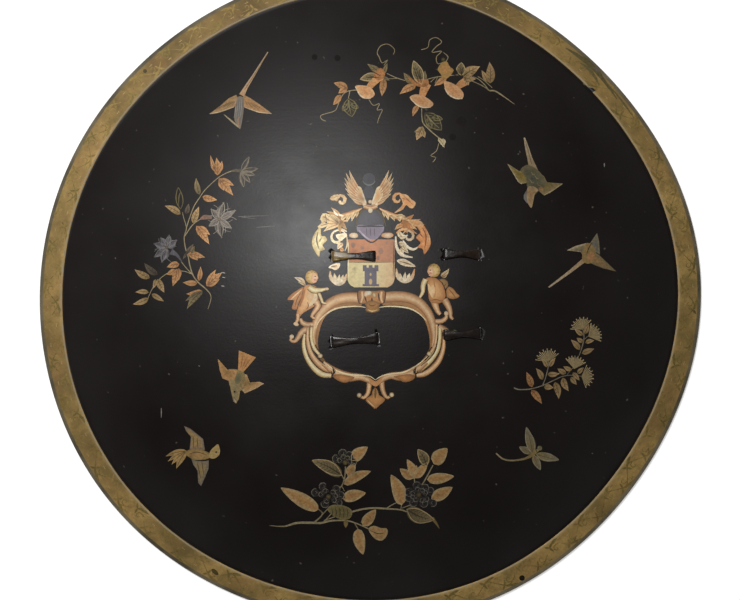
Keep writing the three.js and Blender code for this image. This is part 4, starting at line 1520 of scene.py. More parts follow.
def paint_child_right(art):
    """The right child, seen from the front, with a round case of arrows behind it."""
    dark = "#1E150D"
    art.leaf((440.7, 276.2), (449.2, 268.6), 4.6, (SOFT_GOLD, PALE_GOLD), 0.1, OLIVE, 2, PIGMENT)
    art.leaf((441.9, 277.3), (447.3, 273.8), 3.4, (BROWN_GOLD, SOFT_GOLD), 0.1, OLIVE, 2, PIGMENT)
    drapery = path(4473, 2870, 4525, 2882, 4563, 2929, 4596, 2962, 4549, 2988, 4502, 2986, 4459, 2957)
    art.blob(swollen(drapery, (450, 293), (0.1, 0.1)), dark, 2, LINE)
    art.blob(drapery, ("#DCA468", "#D49A60", "#A87440"), 3, PIGMENT)
    art.line(path(4490, 2894, 4530, 2939, 4556, 2979), 1.2, "#8A5C34", 4)
    art.disc((442.1, 284.2), (7, 6.2), dark, 3, LINE)
    art.disc((442.1, 284.2), (6.2, 5.4), ("#8A6E42", "#B98E56", "#8F6C3C"), 4, PIGMENT)
    art.curl((441.9, 284.2), 3.8, 0, 330, (0.6, 1.3, 0.8), "#4A3820", 5, LINE)
    for points, widths in (
        (path(4339, 2995, 4355, 3059, 4379, 3116, 4403, 3144), (8, 6.6, 4.6, 3.6)),
        (path(4443, 2995, 4478, 3052, 4502, 3116, 4506, 3165, 4530, 3193), (7, 6.4, 4.6, 3.6, 2.6)),
    ):
        art.line(points, [w + 1.4 for w in widths], dark, 3)
        art.band(points, widths, BAND, 5)
    body = path(4261, 2785, 4339, 2776, 4403, 2816, 4440, 2880, 4455, 2962, 4419, 3021, 4355, 3035, 4296,
        3009, 4282, 2929, 4275, 2856)
    art.blob(swollen(body, (435, 291), (0.1, 0.05)), dark, 4, LINE)
    art.blob(body, ("#EDBB80", "#E2A86C", "#B97C46"), 6, PIGMENT, rings=4)
    art.stroke(path(4339, 2809, 4351, 2891, 4348, 2974), (0.4, 1, 0.4), "#B47A48", 7, PIGMENT)
    art.line(path(4304, 3005, 4355, 2995, 4414, 3009), (0.4, 1.1, 0.4), "#8A5830", 7)
    art.disc((432.5, 290.3), (3, 5.4), ("#F9D2A0", "#EDBB80"), 7, PIGMENT)
    arm = path(4256, 2792, 4230, 2856, 4228, 2920, 4197, 2976)
    art.line(arm, (6.4, 6, 4.8, 3.6), dark, 6)
    art.band(arm, (5.4, 5, 3.8, 2.4), PALE_BAND, 8)
    art.stroke(path(4284, 2840, 4302, 2910, 4326, 2976), (1, 3.2, 1.2), "#F3CE98", 7, PIGMENT)
    paint_head(art, (433.9, 270.5), -1)


def paint_arms(art):
    paint_wing(art, -1)
    paint_wing(art, 1)
    paint_scrolls(art)
    paint_escutcheon(art)
    paint_helm(art)


def paint_piece(name, seed, paint, surface=on_face):
    """One piece of the painting, by the function that paints it."""
    art = Painting(name, seed, surface)
    paint(art)
    art.finish()


class SHIELD_OT_arms(bpy.types.Operator):
    """Paint the arms with their helm, wings and leafy mantling"""

    bl_idname = "shield.arms"
    bl_label = "Arms"

    def execute(self, context):
        paint_piece("painted_arms", 11, paint_arms)
        return {"FINISHED"}


class SHIELD_OT_strapwork(bpy.types.Operator):
    """Paint the strapwork frame below the arms"""

    bl_idname = "shield.strapwork"
    bl_label = "Strapwork frame"

    def execute(self, context):
        paint_piece("painted_strapwork", 12, paint_frame)
        return {"FINISHED"}


class SHIELD_OT_children(bpy.types.Operator):
    """Paint the two children beside the arms"""

    bl_idname = "shield.children"
    bl_label = "Children"

    def execute(self, context):
        paint_piece("painted_child_left", 13, paint_child_left)
        paint_piece("painted_child_right", 14, paint_child_right)
        return {"FINISHED"}


# Sprays of leaves and flowers


# Colours of a leaf from base to tip, or across it where it glows, and of its vein
LEAF_TONES = {"orange": (("#BE8B58", "#E4AE76"), "#7E5232"), "gold": (("#A98D5C", "#DDB886"), "#66502E"),
    "olive": (("#766848", "#A8946A"), "#3E3520"), "dusk": (("#54493C", "#83745F"), "#2C251C"),
    "cream": (("#D8C294", "#EEDFB8"), "#8A7648"), "glow": (("#D9BE8C", "#D8AC72", "#D29E60", "#D8AC72",
    "#D9BE8C"), None)}

# Stems: their path and their widths. Leaves: base and tip in tenths of a pixel, width and tone
LEFT_STEMS = (
    (path(2079, 3090, 2111, 2975, 2072, 2903, 1976, 2818, 1927, 2745, 1897, 2648, 1881, 2563, 1854, 2478,
     1842, 2369, 1864, 2279, 1836, 2176, 1825, 2122), (0.6, 1.6, 1.4, 1.2, 0.8)),
    (path(1842, 2369, 1927, 2248, 2009, 2188), (1.3, 0.9)),
    (path(1864, 2279, 1897, 2176, 1942, 2060, 2000, 1970, 2055, 1894, 2169, 1788, 2245, 1739, 2315, 1710),
     (1.1, 1.1, 0.9, 1)),
    (path(1927, 2745, 1866, 2684, 1813, 2617), (1.2, 1)),
    (path(1927, 2745, 1854, 2715, 1789, 2709), (1.1, 0.9)),
    (path(1673, 2733, 1600, 2787, 1527, 2881, 1503, 2929, 1476, 2990), (1.1, 0.8)),
)
LEFT_LEAVES = (
    (2174, 1754, 2165, 1577, 9, "orange"), (2169, 1730, 2104, 1553, 5, "orange"),
    (2177, 1727, 2220, 1608, 6, "orange"), (2162, 1710, 2104, 1645, 5, "orange"),
    (2188, 1783, 2332, 1955, 9, "orange"), (2206, 1790, 2341, 1856, 7, "orange"),
    (2198, 1800, 2240, 1907, 6, "orange"), (1995, 1948, 1961, 1778, 7, "olive"),
    (2024, 1967, 2172, 1999, 8, "orange"), (1806, 2142, 1646, 2057, 8, "gold"),
    (1860, 2142, 1886, 2037, 6, "dusk"), (1927, 2229, 1990, 2064, 8, "gold"),
    (1963, 2258, 2094, 2445, 9, "orange"), (1971, 2268, 2036, 2391, 6, "orange"),
    (1988, 2263, 2099, 2348, 7, "orange"), (1864, 2544, 1934, 2440, 6, "dusk"),
    (1879, 2539, 2051, 2573, 8, "orange"), (1891, 2546, 1980, 2604, 6, "orange"),
    (1915, 2534, 1944, 2461, 5, "olive"), (1864, 2527, 1830, 2592, 3, "dusk"),
    (1794, 2638, 1668, 2672, 8, "orange"), (1770, 2687, 1726, 2864, 9, "orange"),
    (1786, 2684, 1789, 2801, 7, "orange"), (1753, 2697, 1663, 2743, 7, "orange"),
    (1576, 2747, 1442, 2629, 8, "dusk"), (1498, 2779, 1345, 2694, 8, "gold"),
    (1573, 2791, 1643, 2927, 8, "gold"), (1554, 2793, 1530, 2886, 5, "gold"),
    (1488, 2922, 1353, 2922, 6, "gold"), (1517, 2939, 1639, 3014, 6, "gold"),
    (1486, 2983, 1326, 3043, 7, "gold"), (1988, 2808, 2007, 2665, 6, "orange"),
    (1973, 2832, 1828, 2825, 7, "orange"), (2068, 2861, 2220, 2726, 10, "orange"),
    (2068, 2861, 2160, 2694, 7, "orange"), (2072, 2859, 2196, 2793, 7, "orange"),
    (2026, 2910, 1869, 3092, 8, "olive"), (2019, 2907, 1862, 2939, 7, "orange"),
    (2009, 2912, 1854, 3009, 6, "olive"),
)

TOP_STEMS = (
    (path(5145, 1042, 5039, 966, 4951, 910, 4889, 902, 4851, 852, 4787, 793, 4731, 767),
     (0.7, 1.6, 1.4, 1, 0.7)),
    (path(4907, 913, 4819, 855, 4722, 811), (1.1, 0.8)),
    (path(4778, 764, 4845, 808, 4922, 878), (0.9, 0.9)),
    (path(4584, 749, 4467, 758, 4364, 770, 4270, 793), (0.9, 0.8)),
    (path(4355, 775, 4305, 822), (0.8, 0.8)),
    (path(4379, 761, 4349, 834), (0.7, 0.7)),
    (path(4050, 805, 3956, 775, 3868, 734), (0.8, 1, 0.7)),
    (path(3968, 784, 3865, 790), (0.7, 0.5)),
    (path(4217, 1083, 4226, 1218, 4291, 1295, 4376, 1368, 4426, 1409), (0.9, 1.3, 1)),
    (path(3581, 899, 3484, 910, 3425, 951, 3384, 1039, 3352, 1105, 3264, 1135, 3205, 1157, 3220, 1195,
     3258, 1210), (1.1, 1, 0.8, 0.8, 0.7)),
    (path(3499, 907, 3484, 981), (0.9, 0.8)),
    (path(3689, 995, 3733, 1054, 3795, 1036, 3769, 1101, 3824, 1095, 3792, 1171, 3774, 1233),
     (0.8, 0.8, 0.7)),
    (path(3839, 652, 3877, 599, 3821, 629, 3792, 570, 3772, 526, 3804, 461, 3880, 441, 3945, 494, 3933,
     544), (0.8, 0.9, 0.7)),
    (((444.6, 61.4), (437.9, 63.8), (436.4, 57), (441.7, 51.1), (432, 52.3), (436.4, 46.4), (441.7, 42),
     (436.4, 37.6), (429.7, 40), (427.9, 47.3), (421.2, 49.7)), (0.8, 0.9, 0.7)),
    (path(4452, 623, 4482, 570, 4432, 523), (0.7, 0.8, 0.6)),
    (path(4388, 1433, 4364, 1509, 4308, 1556, 4358, 1576, 4329, 1620), (0.8, 0.8, 0.7)),
)
TOP_LEAVES = (
    (4901, 834, 4895, 617, 10, "gold"), (4878, 819, 4816, 702, 6, "gold"),
    (4628, 761, 4801, 664, 11, "gold"), (4614, 755, 4614, 626, 10, "olive"),
    (4628, 767, 4760, 790, 8, "gold"), (4643, 775, 4687, 852, 8, "gold"),
    (4467, 767, 4341, 858, 7, "orange"), (4217, 843, 4135, 608, 12, "olive"),
    (4232, 834, 4250, 708, 6, "olive"), (4144, 834, 4036, 726, 8, "olive"),
    (4159, 855, 3995, 943, 8, "orange"), (4185, 1051, 4127, 1163, 6, "orange"),
    (4229, 1265, 4165, 1403, 9, "gold"), (4206, 1303, 4141, 1318, 5, "olive"),
    (4232, 1303, 4250, 1377, 5, "gold"), (4382, 1380, 4443, 1477, 5, "cream"),
    (4432, 1386, 4426, 1465, 6, "cream"), (3821, 770, 3672, 638, 8, "olive"),
    (3792, 761, 3601, 793, 9, "olive"), (3830, 746, 3874, 629, 5, "olive"),
    (3839, 787, 3818, 963, 8, "orange"), (3821, 775, 3895, 805, 4, "olive"),
    (3478, 887, 3334, 828, 8, "orange"), (3472, 878, 3384, 934, 7, "orange"),
    (3405, 948, 3332, 1051, 7, "orange"),
)

BOTTOM_STEMS = (
    (path(2696, 5256, 2842, 5263, 2970, 5230, 3136, 5228, 3212, 5230, 3314, 5207, 3467, 5207, 3569, 5236,
     3692, 5291), (0.5, 2.2, 2, 1.4, 1.1)),
    (path(3518, 5118, 3633, 5090, 3748, 5080, 3863, 5087, 4003, 5097, 4069, 5118), (1.7, 1.8, 1.2)),
    (path(3856, 5090, 3914, 5052, 3972, 5023), (1.1, 0.8)),
    (path(3148, 5220, 3225, 5141, 3180, 5087), (1.5, 1)),
    (path(3222, 5146, 3276, 5090), (1.2, 0.9)),
    (path(3258, 5197, 3309, 5141), (1.1, 0.9)),
    (path(3238, 5207, 3365, 5161), (1.2, 0.9)),
    (path(3365, 4888, 3416, 4860, 3447, 4771, 3455, 4664), (1.1, 1.4, 1)),
    (path(3416, 4860, 3447, 4911), (0.9, 0.7)),
    (path(3416, 4748, 3442, 4796), (0.9, 0.9)),
    (path(3444, 4840, 3493, 4779), (0.9, 0.7)),
    (path(4217, 4850, 4258, 4786, 4330, 4651), (1.1, 1.4, 0.9)),
    (path(4008, 5087, 4018, 5039), (0.9, 0.9)),
    (path(4018, 5082, 4131, 5039), (1, 0.7)),
    (path(4143, 4779, 4146, 4830), (1, 0.8)),
    (path(3544, 5230, 3580, 5289), (0.9, 0.9)),
)
BOTTOM_LEAVES = (
    (3184, 5097, 2809, 4878, 14, "glow"), (3419, 4753, 3120, 4603, 13, "olive"),
    (3442, 4842, 3707, 4712, 10, "glow"), (3480, 4761, 3552, 4636, 9, "glow"),
    (3513, 4605, 3674, 4470, 12, "glow"), (3427, 4985, 3656, 4929, 12, "glow"),
    (3628, 5258, 3756, 5097, 11, "glow"), (3577, 5289, 3631, 5544, 12, "glow"),
    (4018, 5049, 3911, 4748, 14, "glow"), (4067, 5092, 4340, 5197, 15, "olive"),
    (4138, 4781, 4001, 4687, 9, "glow"), (4141, 4779, 4072, 4595, 9, "glow"),
    (4151, 4771, 4164, 4651, 7, "glow"), (4148, 4781, 4273, 4626, 9, "glow"),
    (4268, 4661, 4179, 4493, 11, "olive"), (4337, 4641, 4472, 4483, 14, "glow"),
    (4271, 4796, 4539, 4763, 11, "glow"), (4314, 4988, 4523, 4873, 12, "glow"),
)

RIGHT_STEMS = (
    (path(5139, 3878, 5190, 3895, 5305, 3890, 5426, 3855, 5535, 3804, 5627, 3763, 5718, 3752, 5812, 3763),
     (1.8, 1.5, 1.3, 1, 0.8)),
    (path(5426, 3855, 5454, 3781, 5483, 3666, 5485, 3599), (1.3, 0.9)),
    (path(5672, 3746, 5718, 3689, 5744, 3677), (0.9, 0.7)),
    (path(5790, 3558, 5817, 3482, 5840, 3379, 5829, 3287), (0.8, 1.3, 0.9)),
    (path(5838, 3397, 5886, 3356), (1, 0.7)),
)
RIGHT_LEAVES = (
    (5322, 3872, 5264, 3719, 8, "orange"), (5426, 3798, 5360, 3682, 7, "gold"),
    (5472, 3672, 5412, 3581, 5.5, "gold"), (5495, 3666, 5554, 3576, 5.5, "gold"),
    (5475, 3744, 5597, 3735, 6.5, "gold"), (5661, 3735, 5574, 3686, 6.5, "gold"),
    (5715, 3703, 5633, 3664, 5.5, "gold"), (5314, 3900, 5418, 4038, 8, "orange"),
    (5441, 3870, 5535, 3879, 7, "gold"), (5548, 3820, 5588, 3992, 8, "gold"),
    (5627, 3778, 5686, 3911, 8, "gold"), (5709, 3771, 5767, 3847, 6, "gold"),
    (5728, 3726, 5794, 3804, 6, "gold"), (5776, 3737, 5838, 3675, 5.5, "gold"),
    (5829, 3351, 5748, 3294, 5.5, "gold"), (5849, 3340, 5891, 3241, 6, "gold"),
    (5829, 3420, 5767, 3379, 5.5, "gold"), (5854, 3427, 5943, 3406, 5.5, "gold"),
    (5799, 3498, 5709, 3397, 7, "gold"), (5819, 3535, 5943, 3487, 7, "gold"),
)


def paint_spray(art, stems, leaves, stem_tone, fineness=1):
    """Stems first, then the leaves over them with their veins; fineness thins stems and leaves."""
    for points, widths in stems:
        art.stroke(points, [width * fineness for width in widths], stem_tone, 1, GOLD, 2.2)
    for *ends, width, tone in leaves:
        base, tip = path(*ends)
        colours, vein = LEAF_TONES[tone]
        bend = art.random.uniform(-0.08, 0.08)
        glowing = tone == "glow"
        art.leaf(base, tip, width * mix(1, fineness, 0.7), colours, bend, vein, 3, across=glowing)
        if vein and width >= 8:
            art.side_veins(base, tip, width, vein)
        if tone in ("glow", "olive") and width >= 9:
            art.outline_leaf(base, tip, width, "#D8BC8A", 5, bend)


def paint_silver_flower(art, centre, tips, width, tone, edge):
    """An open flower of silver lacquer, with a fine pale edge and curling hairs to each petal."""
    for tip in tips:
        art.leaf(centre, tip, width, tone, art.random.uniform(-0.14, 0.14), edge, 4)
        art.outline_leaf(centre, tip, width, edge, 5)
        turn = math.degrees(math.atan2(tip[1] - centre[1], tip[0] - centre[0]))
        art.curl(tip, 1.4, turn - 90, 240, (0.3, 0.5, 0.3), edge, 6)
        for sway in (-24, 20):
            reach = math.dist(centre, tip) * art.random.uniform(0.8, 1.05)
            points = []
            for share, lean in ((0.3, 0.2), (0.7, 0.8), (1, 1.5)):
                angle = math.radians(turn + sway * lean)
                points.append(polar(centre, share * reach, angle))
            art.stroke(points, (0.3, 0.5, 0.4), edge, 6)
    art.disc(centre, width * 0.28, ("#8E7B68", "#6E5D4E"), 7)


def paint_rosette(art, centre, tips, edge):
    """A full flower of round overlapping petals, drawn in grey with hardly any filling."""
    for i, tip in enumerate(tips):
        turn = math.degrees(math.atan2(tip[1] - centre[1], tip[0] - centre[0]))
        for share, radii in ((0.74, (4.9, 3.5)), (0.4, (3.4, 2.8))):
            middle = between(centre, tip, share)
            lean = turn + 70 + 40 * math.sin(2.4 * i + 5 * share)
            art.disc(middle, radii, ("#161412", "#211E1C", "#39352F"), 4, LINE, lean, 3, 0.16)
            art.curl(middle, radii[0] * 0.82, turn - 84, 168, (0.3, 0.6, 0.3), edge, 5, LINE, 1)
            art.curl(middle, radii[1] * 0.5, turn + 60, 190, (0.3, 0.45, 0.2), edge, 5, LINE, 1)
    art.disc(centre, 2.6, ("#8A7A50", "#4E452F"), 7)


def paint_trumpet(art, lobes, tube, tube_width, rim):
    """A trumpet flower: its tube, its open mouth and the pale edge of the mouth."""
    art.stroke(tube, (tube_width, tube_width * 0.9, tube_width * 0.6), ("#E8AC74", "#DB9B60"), 4)
    art.blob(lobes, ("#E0A068", "#E8AE78", "#EDBB88"), 5)
    art.stroke(rim, (0.6, 1.3, 0.6), "#FBE2BE", 6)


def paint_fan(art, base, radius, start, end, tone):
    """A flower like a small fan, of fine rays that widen outwards."""
    rays = 15
    wedge = [base]
    for i in range(rays):
        angle = math.radians(mix(start, end, i / (rays - 1)))
        reach = radius * (0.93 + 0.07 * math.cos(math.pi * i))
        tip = polar(base, reach, angle)
        wedge.append(between(base, tip, 0.74))
        art.line([base, tip], (0.3, 0.6, 0.9), tone, 4)
    art.blob(wedge, ("#9C8252", "#6E6040", "#5A5038"), 3, smooth_rim=False)


# Birds and the dragonfly


def paint_bird_shape(art, outline, colours, layer=3):
    """One flat part of a bird, with straight sides."""
    art.blob(outline, colours, layer, smooth_rim=False)


def paint_feathers(art, root, tips, colour, layer=4, width=0.7):
    """Fine lines from the root of a wing or a tail towards its tips."""
    for tip in tips:
        art.line([between(root, tip, 0.3), between(root, tip, 0.92)], (0.3, width, 0.3), colour, layer)


def paint_birds(art):
    """The five birds, each from its tail and wings to its body and head."""
    gold, pale, olive, grey = "#C39A68", "#D9C4A0", "#5E4A2C", "#77716C"
    # the long-tailed bird at the upper left
    art.stroke(path(2679, 520, 2545, 739, 2460, 873, 2418, 954), (0.9, 2.4, 3.8, 5.8), (pale, "#D8AC80"),
        3)
    art.line(path(2673, 539, 2533, 764, 2448, 897), (0.4, 0.8, 0.6), "#9A7048", 4)
    paint_bird_shape(art, path(2364, 947, 2285, 985, 2200, 1060, 2091, 1140, 2170, 1129, 2339, 1074, 2388,
        1006), ("#A5865C", gold, "#B89368"))
    paint_bird_shape(art, path(2442, 948, 2515, 988, 2618, 1060, 2721, 1138, 2582, 1125, 2442, 1074, 2412,
        1006), ("#A8875C", "#C28F5C", "#B89368"))
    art.stroke(path(2097, 1138, 2194, 1119, 2339, 1069), (0.5, 1.1, 0.5), "#E0C8A0", 5)
    art.stroke(path(2448, 1071, 2582, 1119, 2715, 1136), (0.5, 1.1, 0.5), "#E0C8A0", 5)
    paint_feathers(art, (237.6, 98.2), path(2133, 1109, 2200, 1091, 2261, 1073, 2315, 1054), "#6B5536")
    paint_feathers(art, (243.6, 98.2), path(2666, 1115, 2594, 1097, 2533, 1085, 2479, 1060), "#6B5536")
    art.blob(path(2371, 982, 2406, 963, 2440, 988, 2439, 1060, 2431, 1145, 2418, 1224, 2400, 1291, 2370,
        1248, 2343, 1188, 2359, 1073), (grey, "#6E6A64", "#8A7C66"), 5, LINE)
    for x in (233, 235, 237, 239):
        art.line([(x + 2, 98), (x + 2.4, 108), (x + 1, 118)], 0.6, "#9C968E", 6)
    art.stroke(path(2239, 1144, 2303, 1200, 2388, 1272), (0.4, 1.6, 1.6), "#B7A584", 6)
    art.stroke(path(2394, 1163, 2379, 1212, 2394, 1279), (1.2, 1.8, 0.6), "#B08C72", 7)
    # the bird at the upper right
    art.stroke(path(5243, 1376, 5270, 1480, 5300, 1590, 5338, 1710), (1.4, 3.8, 5.2, 8.6),
        (pale, "#B39A74"), 3)
    art.line(path(5256, 1410, 5316, 1640), (0.3, 0.7), "#6B5536", 6)
    paint_bird_shape(art, path(5073, 1635, 5190, 1710, 5270, 1690, 5300, 1780, 5265, 1830, 5216, 1839,
        5180, 1806, 5131, 1724), ("#857234", "#96803F", "#A8956A"), 4)
    paint_bird_shape(art, path(5380, 1710, 5441, 1765, 5470, 1824, 5629, 1835, 5520, 1906, 5437, 1953,
        5384, 1904, 5340, 1820), ("#8A7A4A", "#94814F", "#B39A6C"), 4)
    art.blob(path(5204, 1704, 5245, 1659, 5284, 1650, 5366, 1690, 5436, 1768, 5460, 1840, 5390, 1906,
        5330, 1954, 5274, 1886, 5260, 1780), ("#5F6152", "#757054", "#85795A"), 5)
    art.blob(path(5276, 1876, 5330, 1860, 5382, 1900, 5349, 1934, 5335, 2002, 5314, 2078, 5280, 2034,
        5266, 1960), ("#AE8A60", "#B89468", "#C9AC82"), 7)
    art.line(path(5272, 1900, 5249, 1970, 5274, 2032), (0.8, 3, 0.9), grey, 6)
    art.disc((541, 189), 2.4, ("#C68E66", "#A08454"), 6)
    art.stroke(path(5078, 1644, 5132, 1730, 5182, 1812, 5218, 1840), (0.4, 0.9, 0.7), "#CDBA90", 6)
    art.stroke(path(5440, 1952, 5520, 1908, 5624, 1838), (0.7, 1, 0.4), "#D6BE94", 6)
    for x, y in path(5310, 1720, 5350, 1760, 5300, 1800, 5370, 1830):
        art.line([(x, y), (x + 1.6, y + 2.4), (x + 4, y + 3)], (0.3, 0.5, 0.3), "#A3946A", 6)
    # the bird at the right
    art.stroke(path(5486, 2874, 5694, 2720, 5835, 2608, 5900, 2579), (1.4, 3, 4.6, 8), (pale, gold), 3)
    paint_bird_shape(art, path(5668, 2503, 5759, 2458, 5859, 2432, 5904, 2462, 5867, 2590, 5835, 2568,
        5807, 2519, 5748, 2512), ("#8A7F62", "#9C8A62", pale))
    paint_bird_shape(art, path(5971, 2330, 5991, 2417, 6000, 2547, 5932, 2503, 5891, 2445),
        ("#7E7C76", "#9C9070"), 4)
    paint_bird_shape(art, path(5893, 2488, 5987, 2547, 6162, 2714, 6030, 2683, 5928, 2642, 5857, 2601),
        (gold, "#A88A5A", "#9C8C6C"), 4)
    art.blob(path(5857, 2438, 5917, 2445, 5958, 2519, 5922, 2623, 5846, 2629, 5820, 2558),
        ("#A88C58", "#B3935E"), 5)
    art.disc((590.6, 256.4), (3.8, 5), ("#CE9464", "#C09460"), 6, GOLD, 30)
    art.line(path(5865, 2547, 5887, 2482, 5917, 2428), (0.3, 0.9, 0.4), "#33281A", 6)
    art.stroke(path(5677, 2506, 5781, 2467, 5857, 2441), 0.7, "#CFC09C", 6)
    # the fan-tailed bird at the left
    paint_bird_shape(art, path(2388, 3504, 2560, 3574, 2491, 3655, 2432, 3722, 2380, 3710),
        ("#D69A5E", "#DFA568"), 3)
    paint_feathers(art, (240.1, 373.7), path(2430, 3546, 2468, 3565, 2507, 3584), "#8F6238")
    paint_bird_shape(art, path(2178, 3588, 2223, 3638, 2275, 3697, 2375, 3697, 2354, 3785, 2296, 3812,
        2225, 3783, 2197, 3699), ("#A58752", "#CB9860", "#D9A870"), 4)
    paint_bird_shape(art, path(2411, 3727, 2468, 3748, 2499, 3825, 2593, 3818, 2642, 3835, 2558, 3886,
        2449, 3934, 2401, 3880, 2363, 3814), ("#9C8450", "#C6955E", "#D6B484"), 4)
    art.blob(path(2273, 3699, 2378, 3697, 2445, 3737, 2457, 3852, 2401, 3909, 2311, 3880, 2283, 3794),
        ("#8F7F54", "#A38C5C"), 4)
    paint_bird_shape(art, path(2289, 3785, 2392, 3794, 2401, 3900, 2390, 3986, 2361, 4035, 2333, 4014,
        2308, 3900), ("#8F7F58", "#A8946A", "#B79C68"), 5)
    art.disc((238, 378.7), (3.2, 5.6), ("#5C5840", "#756B48"), 7, LINE, 15)
    art.disc((234.6, 391.7), 1, UMBER, 7, LINE)
    art.stroke(path(2340, 3986, 2361, 4030), (0.4, 1.2, 0.4), CREAM, 7)
    # the bird at the lower left
    for tip, width in (((165.3, 456.5), 4.4), ((167.8, 461.5), 4.4), ((171.5, 464.6), 4.6),
            ((176.2, 468.8), 5.4)):
        art.leaf((186.6, 450.8), tip, width * 1.25, ("#CCA468", "#DFB876"), 0.05, "#6E5634", 3)
    paint_bird_shape(art, path(1841, 4261, 1900, 4284, 1971, 4340, 2032, 4391, 2049, 4498, 1971, 4514,
        1896, 4493, 1910, 4368, 1862, 4311), ("#B59F6E", "#CDA468", "#94897A"), 4)
    paint_bird_shape(art, path(1914, 4588, 2088, 4594, 2086, 4684, 2051, 4770, 2011, 4860, 1982, 4828,
        1975, 4705, 1933, 4646), ("#C2A26A", "#AE986C", "#94897A"), 4)
    art.blob(path(1854, 4521, 1914, 4491, 2009, 4495, 2095, 4531, 2114, 4569, 2028, 4598, 1933, 4594,
        1875, 4560), ("#E2B076", "#D8AE6E", "#BE9C60"), 6)
    art.line(path(1952, 4604, 2047, 4604, 2124, 4586), (0.5, 1.6, 0.6), "#2A2016", 7)
    art.line(path(1894, 4541, 1971, 4521, 2067, 4550), (0.4, 0.9, 0.4), "#5E4A2C", 7)
    art.blob(path(2086, 4565, 2109, 4502, 2143, 4468, 2178, 4441, 2191, 4464, 2202, 4512, 2183, 4560,
        2130, 4588), ("#CDAE6C", "#DBBC7C"), 7)
    art.disc((216.2, 452.1), 0.9, UMBER, 8, LINE)
    for root, tip in (path(1933, 4483, 1933, 4368), path(1980, 4483, 1971, 4378),
            path(1971, 4617, 2009, 4789), path(2019, 4617, 2038, 4751)):
        art.line([root, tip], (0.3, 0.8, 0.3), olive, 6)


def paint_dragonfly(art):
    """The dragonfly at the lower right: tail, four wings, body and head."""
    tail = path(4961, 4533, 5030, 4590, 5121, 4605, 5236, 4590, 5305, 4561)
    art.stroke(tail, (1.4, 1.5, 1.6, 2, 3), ("#CDBB94", "#A8905A"), 3)
    for base, tip, width in (((533, 454.5), (526.4, 427.2), 9), ((536.2, 454.3), (558.8, 459.8), 8.5),
            ((533.5, 455), (540.4, 469.9), 7), ((531.7, 453.4), (519.3, 446.9), 7)):
        art.leaf(base, tip, width, ("#A38B54", "#A59A82"), 0.02, "#6A6044", 3)
        art.outline_leaf(base, tip, width, "#B5AA8A", 5)
    art.stroke(path(5294, 4568, 5346, 4527, 5392, 4488), (3, 3.8, 2), ("#A58D54", "#BBA46A"), 6)
    art.disc((539.7, 448.1), 2.4, ("#8A8268", "#A0906A"), 7)
    art.line(path(5374, 4527, 5356, 4492), 0.8, "#3A2F1E", 8)


def paint_flowers_left(art):
    """Two silver flowers, a dark one, a bud and some pale threads."""
    silver, dusk = ("#6E6560", "#8A7F78"), ("#5E5A5C", "#79747A")
    art.stroke(path(2005, 2192, 2048, 2171, 2121, 2176), (1.6, 4.6, 3), ("#A8806A", "#8C7464"), 4)
    paint_silver_flower(art, (219.4, 219.5), path(2237, 2030, 2351, 2108, 2310, 2282, 2215, 2372, 2094,
        2258, 2116, 2093), 6.4, silver, "#A59C8C")
    art.stroke(path(1818, 2617, 1770, 2551, 1709, 2515), (1.2, 3, 6.4), dusk, 4)
    paint_silver_flower(art, (166.8, 247.6), path(1692, 2355, 1765, 2406, 1544, 2437, 1547, 2566, 1619,
        2617, 1612, 2382), 6.2, dusk, "#8E8A88")
    art.stroke(path(2310, 1713, 2363, 1705, 2417, 1713), (1.4, 3, 3.6), ("#7C6E58", "#5E554A"), 4)
    for tip in path(2492, 1567, 2581, 1686, 2547, 1751, 2436, 1870, 2501, 1824):
        art.leaf((241.2, 171.5), tip, 5, ("#4A443E", "#57514A"), 0.08, "#8A7F6C", 4)
        art.outline_leaf((241.2, 171.5), tip, 5, "#8A7F6C", 5)
    art.outline_leaf((180.6, 209.1), (178.2, 187.5), 8, "#8C8058", 5)
    art.stroke(path(1786, 2054, 1789, 1970, 1806, 1921), (0.4, 1.4, 0.5), "#7A6E4A", 5)
    for spot, length in (((225.2, 273), 4), ((225.2, 277.7), 3), ((224.2, 286.4), 3)):
        art.line([spot, (spot[0] - length, spot[1] - 0.6)], 0.9, "#C9C4BA", 6)


